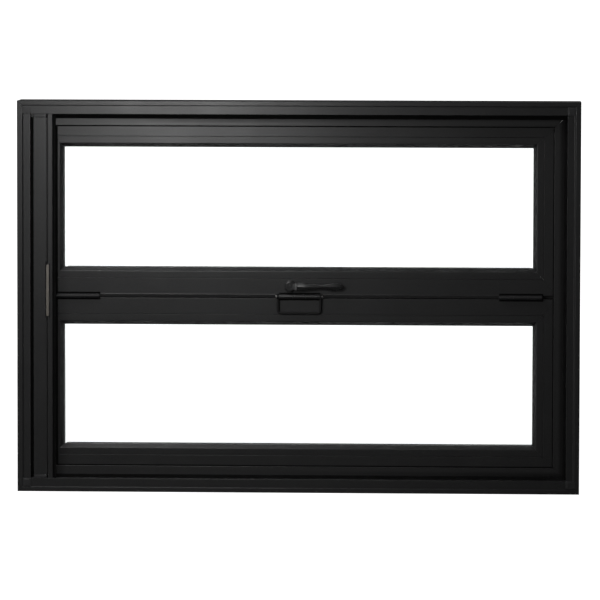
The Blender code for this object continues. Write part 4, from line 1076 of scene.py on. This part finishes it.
for nodeName, material in (
    ("bolt_left", steel), ("bolt_right", steel), ("lever_spindle", steel), ("lock_gearbox", steel),
    ("screen_roller", cloth), ("meeting_seal", rubber),
):
    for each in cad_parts[nodeName].material_slots:
        each.material = material
print("screen and seals made")


# Stage, light and camera

stage = {"radius": 4.0, "below": 0.0005, "tone": 0.16, "glow": 1.1}
backdrop = {"fill": 0.062, "seen": 1.3}


def seenByCamera(tree):
    # one for what the camera sees, also through the glass, and zero for light that falls on the window
    paths = tree.nodes.new("ShaderNodeLightPath").outputs
    return maths(tree, "MAXIMUM", paths["Is Camera Ray"], paths["Is Transmission Ray"])


def stageMaterial():
    # a plain matt floor that shows white to the camera but lights the frame only as much as pale paper would
    material, tree, shader = newMaterial("paleFloor")
    shader.inputs["Base Color"].default_value = (stage["tone"], stage["tone"], stage["tone"], 1)
    shader.inputs["Roughness"].default_value = 0.9
    shader.inputs["Emission Color"].default_value = (1, 1, 1, 1)
    glow = maths(tree, "MULTIPLY", seenByCamera(tree), stage["glow"])
    tree.links.new(glow, shader.inputs["Emission Strength"])
    return material


angle = np.arange(96) * 2 * np.pi / 96
ring = np.concatenate([[0.01], np.linspace(0.3, stage["radius"], 12)])[:, None]
points = np.stack([ring * np.cos(angle), ring * np.sin(angle), 0 * ring * angle - stage["below"]], axis=-1)
index = np.arange(ring.size * 96).reshape(-1, 96)
faces = quadsBetween(index[1:], index[:-1])
mesh = bpy.data.meshes.new("floor")
mesh.from_pydata(points.reshape(-1, 3).tolist(), [], faces.tolist() + [index[0].tolist()])
mesh.materials.append(stageMaterial())
floorObject = bpy.data.objects.new("floor", mesh)
bpy.context.scene.collection.objects.link(floorObject)

world = bpy.data.worlds.new("studio")
bpy.context.scene.world = world
world.use_nodes = True
tree = world.node_tree
strength = mapRange(tree, seenByCamera(tree), 0.0, 1.0, backdrop["fill"], backdrop["seen"])
tree.nodes["Background"].inputs["Color"].default_value = (1, 1, 1, 1)
tree.links.new(strength, tree.nodes["Background"].inputs["Strength"])

lamps = {  # where each stands and aims, in metres, its width and height, and its watts
    "keySoftbox": {"at": (-0.40, -1.60, 1.02), "to": (-0.30, 0.0, 0.90), "size": (0.34, 0.34), "power": 7.2},
    "overheadSoftbox": {"at": (-0.75, -1.0, 2.6), "to": (0.0, 0.0, 0.4), "size": (1.4, 1.4), "power": 19.0},
    "sideSoftbox": {"at": (-3.8, -4.7, 0.35), "to": (0.0, 0.0, 0.5), "size": (1.2, 0.7), "power": 26.0},
    "frontPanel": {"at": (-0.2, -6.0, 0.1), "to": (-0.1, 0.0, 0.5), "size": (3.0, 0.8), "power": 1.8},
    "rearSoftbox": {"at": (1.4, 2.2, 1.9), "to": (0.0, 0.0, 0.5), "size": (1.2, 1.2), "power": 3.0},
}
for name, lamp in lamps.items():
    light = bpy.data.lights.new(name, "AREA")
    light.shape, light.energy = "RECTANGLE", lamp["power"]
    light.size, light.size_y = lamp["size"]
    lampObject = bpy.data.objects.new(name, light)
    lampObject.location = lamp["at"]
    direction = Vector(lamp["to"]) - Vector(lamp["at"])
    lampObject.rotation_euler = direction.to_track_quat("-Z", "Y").to_euler()
    lampObject.visible_camera = False
    bpy.context.scene.collection.objects.link(lampObject)

view = {"location": (0.472, -12.0, 1.338), "tilt": -0.0715, "roll": -0.0022, "turn": 0.0391, "lens": 289.4}
camera = bpy.data.cameras.new("camera")
camera.sensor_width, camera.lens, camera.clip_end = 36.0, view["lens"], 60.0
cameraObject = bpy.data.objects.new("camera", camera)
bpy.context.scene.collection.objects.link(cameraObject)
turnMatrix = Matrix.Rotation(view["turn"], 4, "Z") @ Matrix.Rotation(math.pi / 2 + view["tilt"], 4, "X")
turnMatrix = turnMatrix @ Matrix.Rotation(-view["roll"], 4, "Z")
cameraObject.matrix_world = Matrix.Translation(view["location"]) @ turnMatrix
bpy.context.scene.camera = cameraObject
bpy.context.scene.view_settings.view_transform = "Standard"
print("stage and camera made")
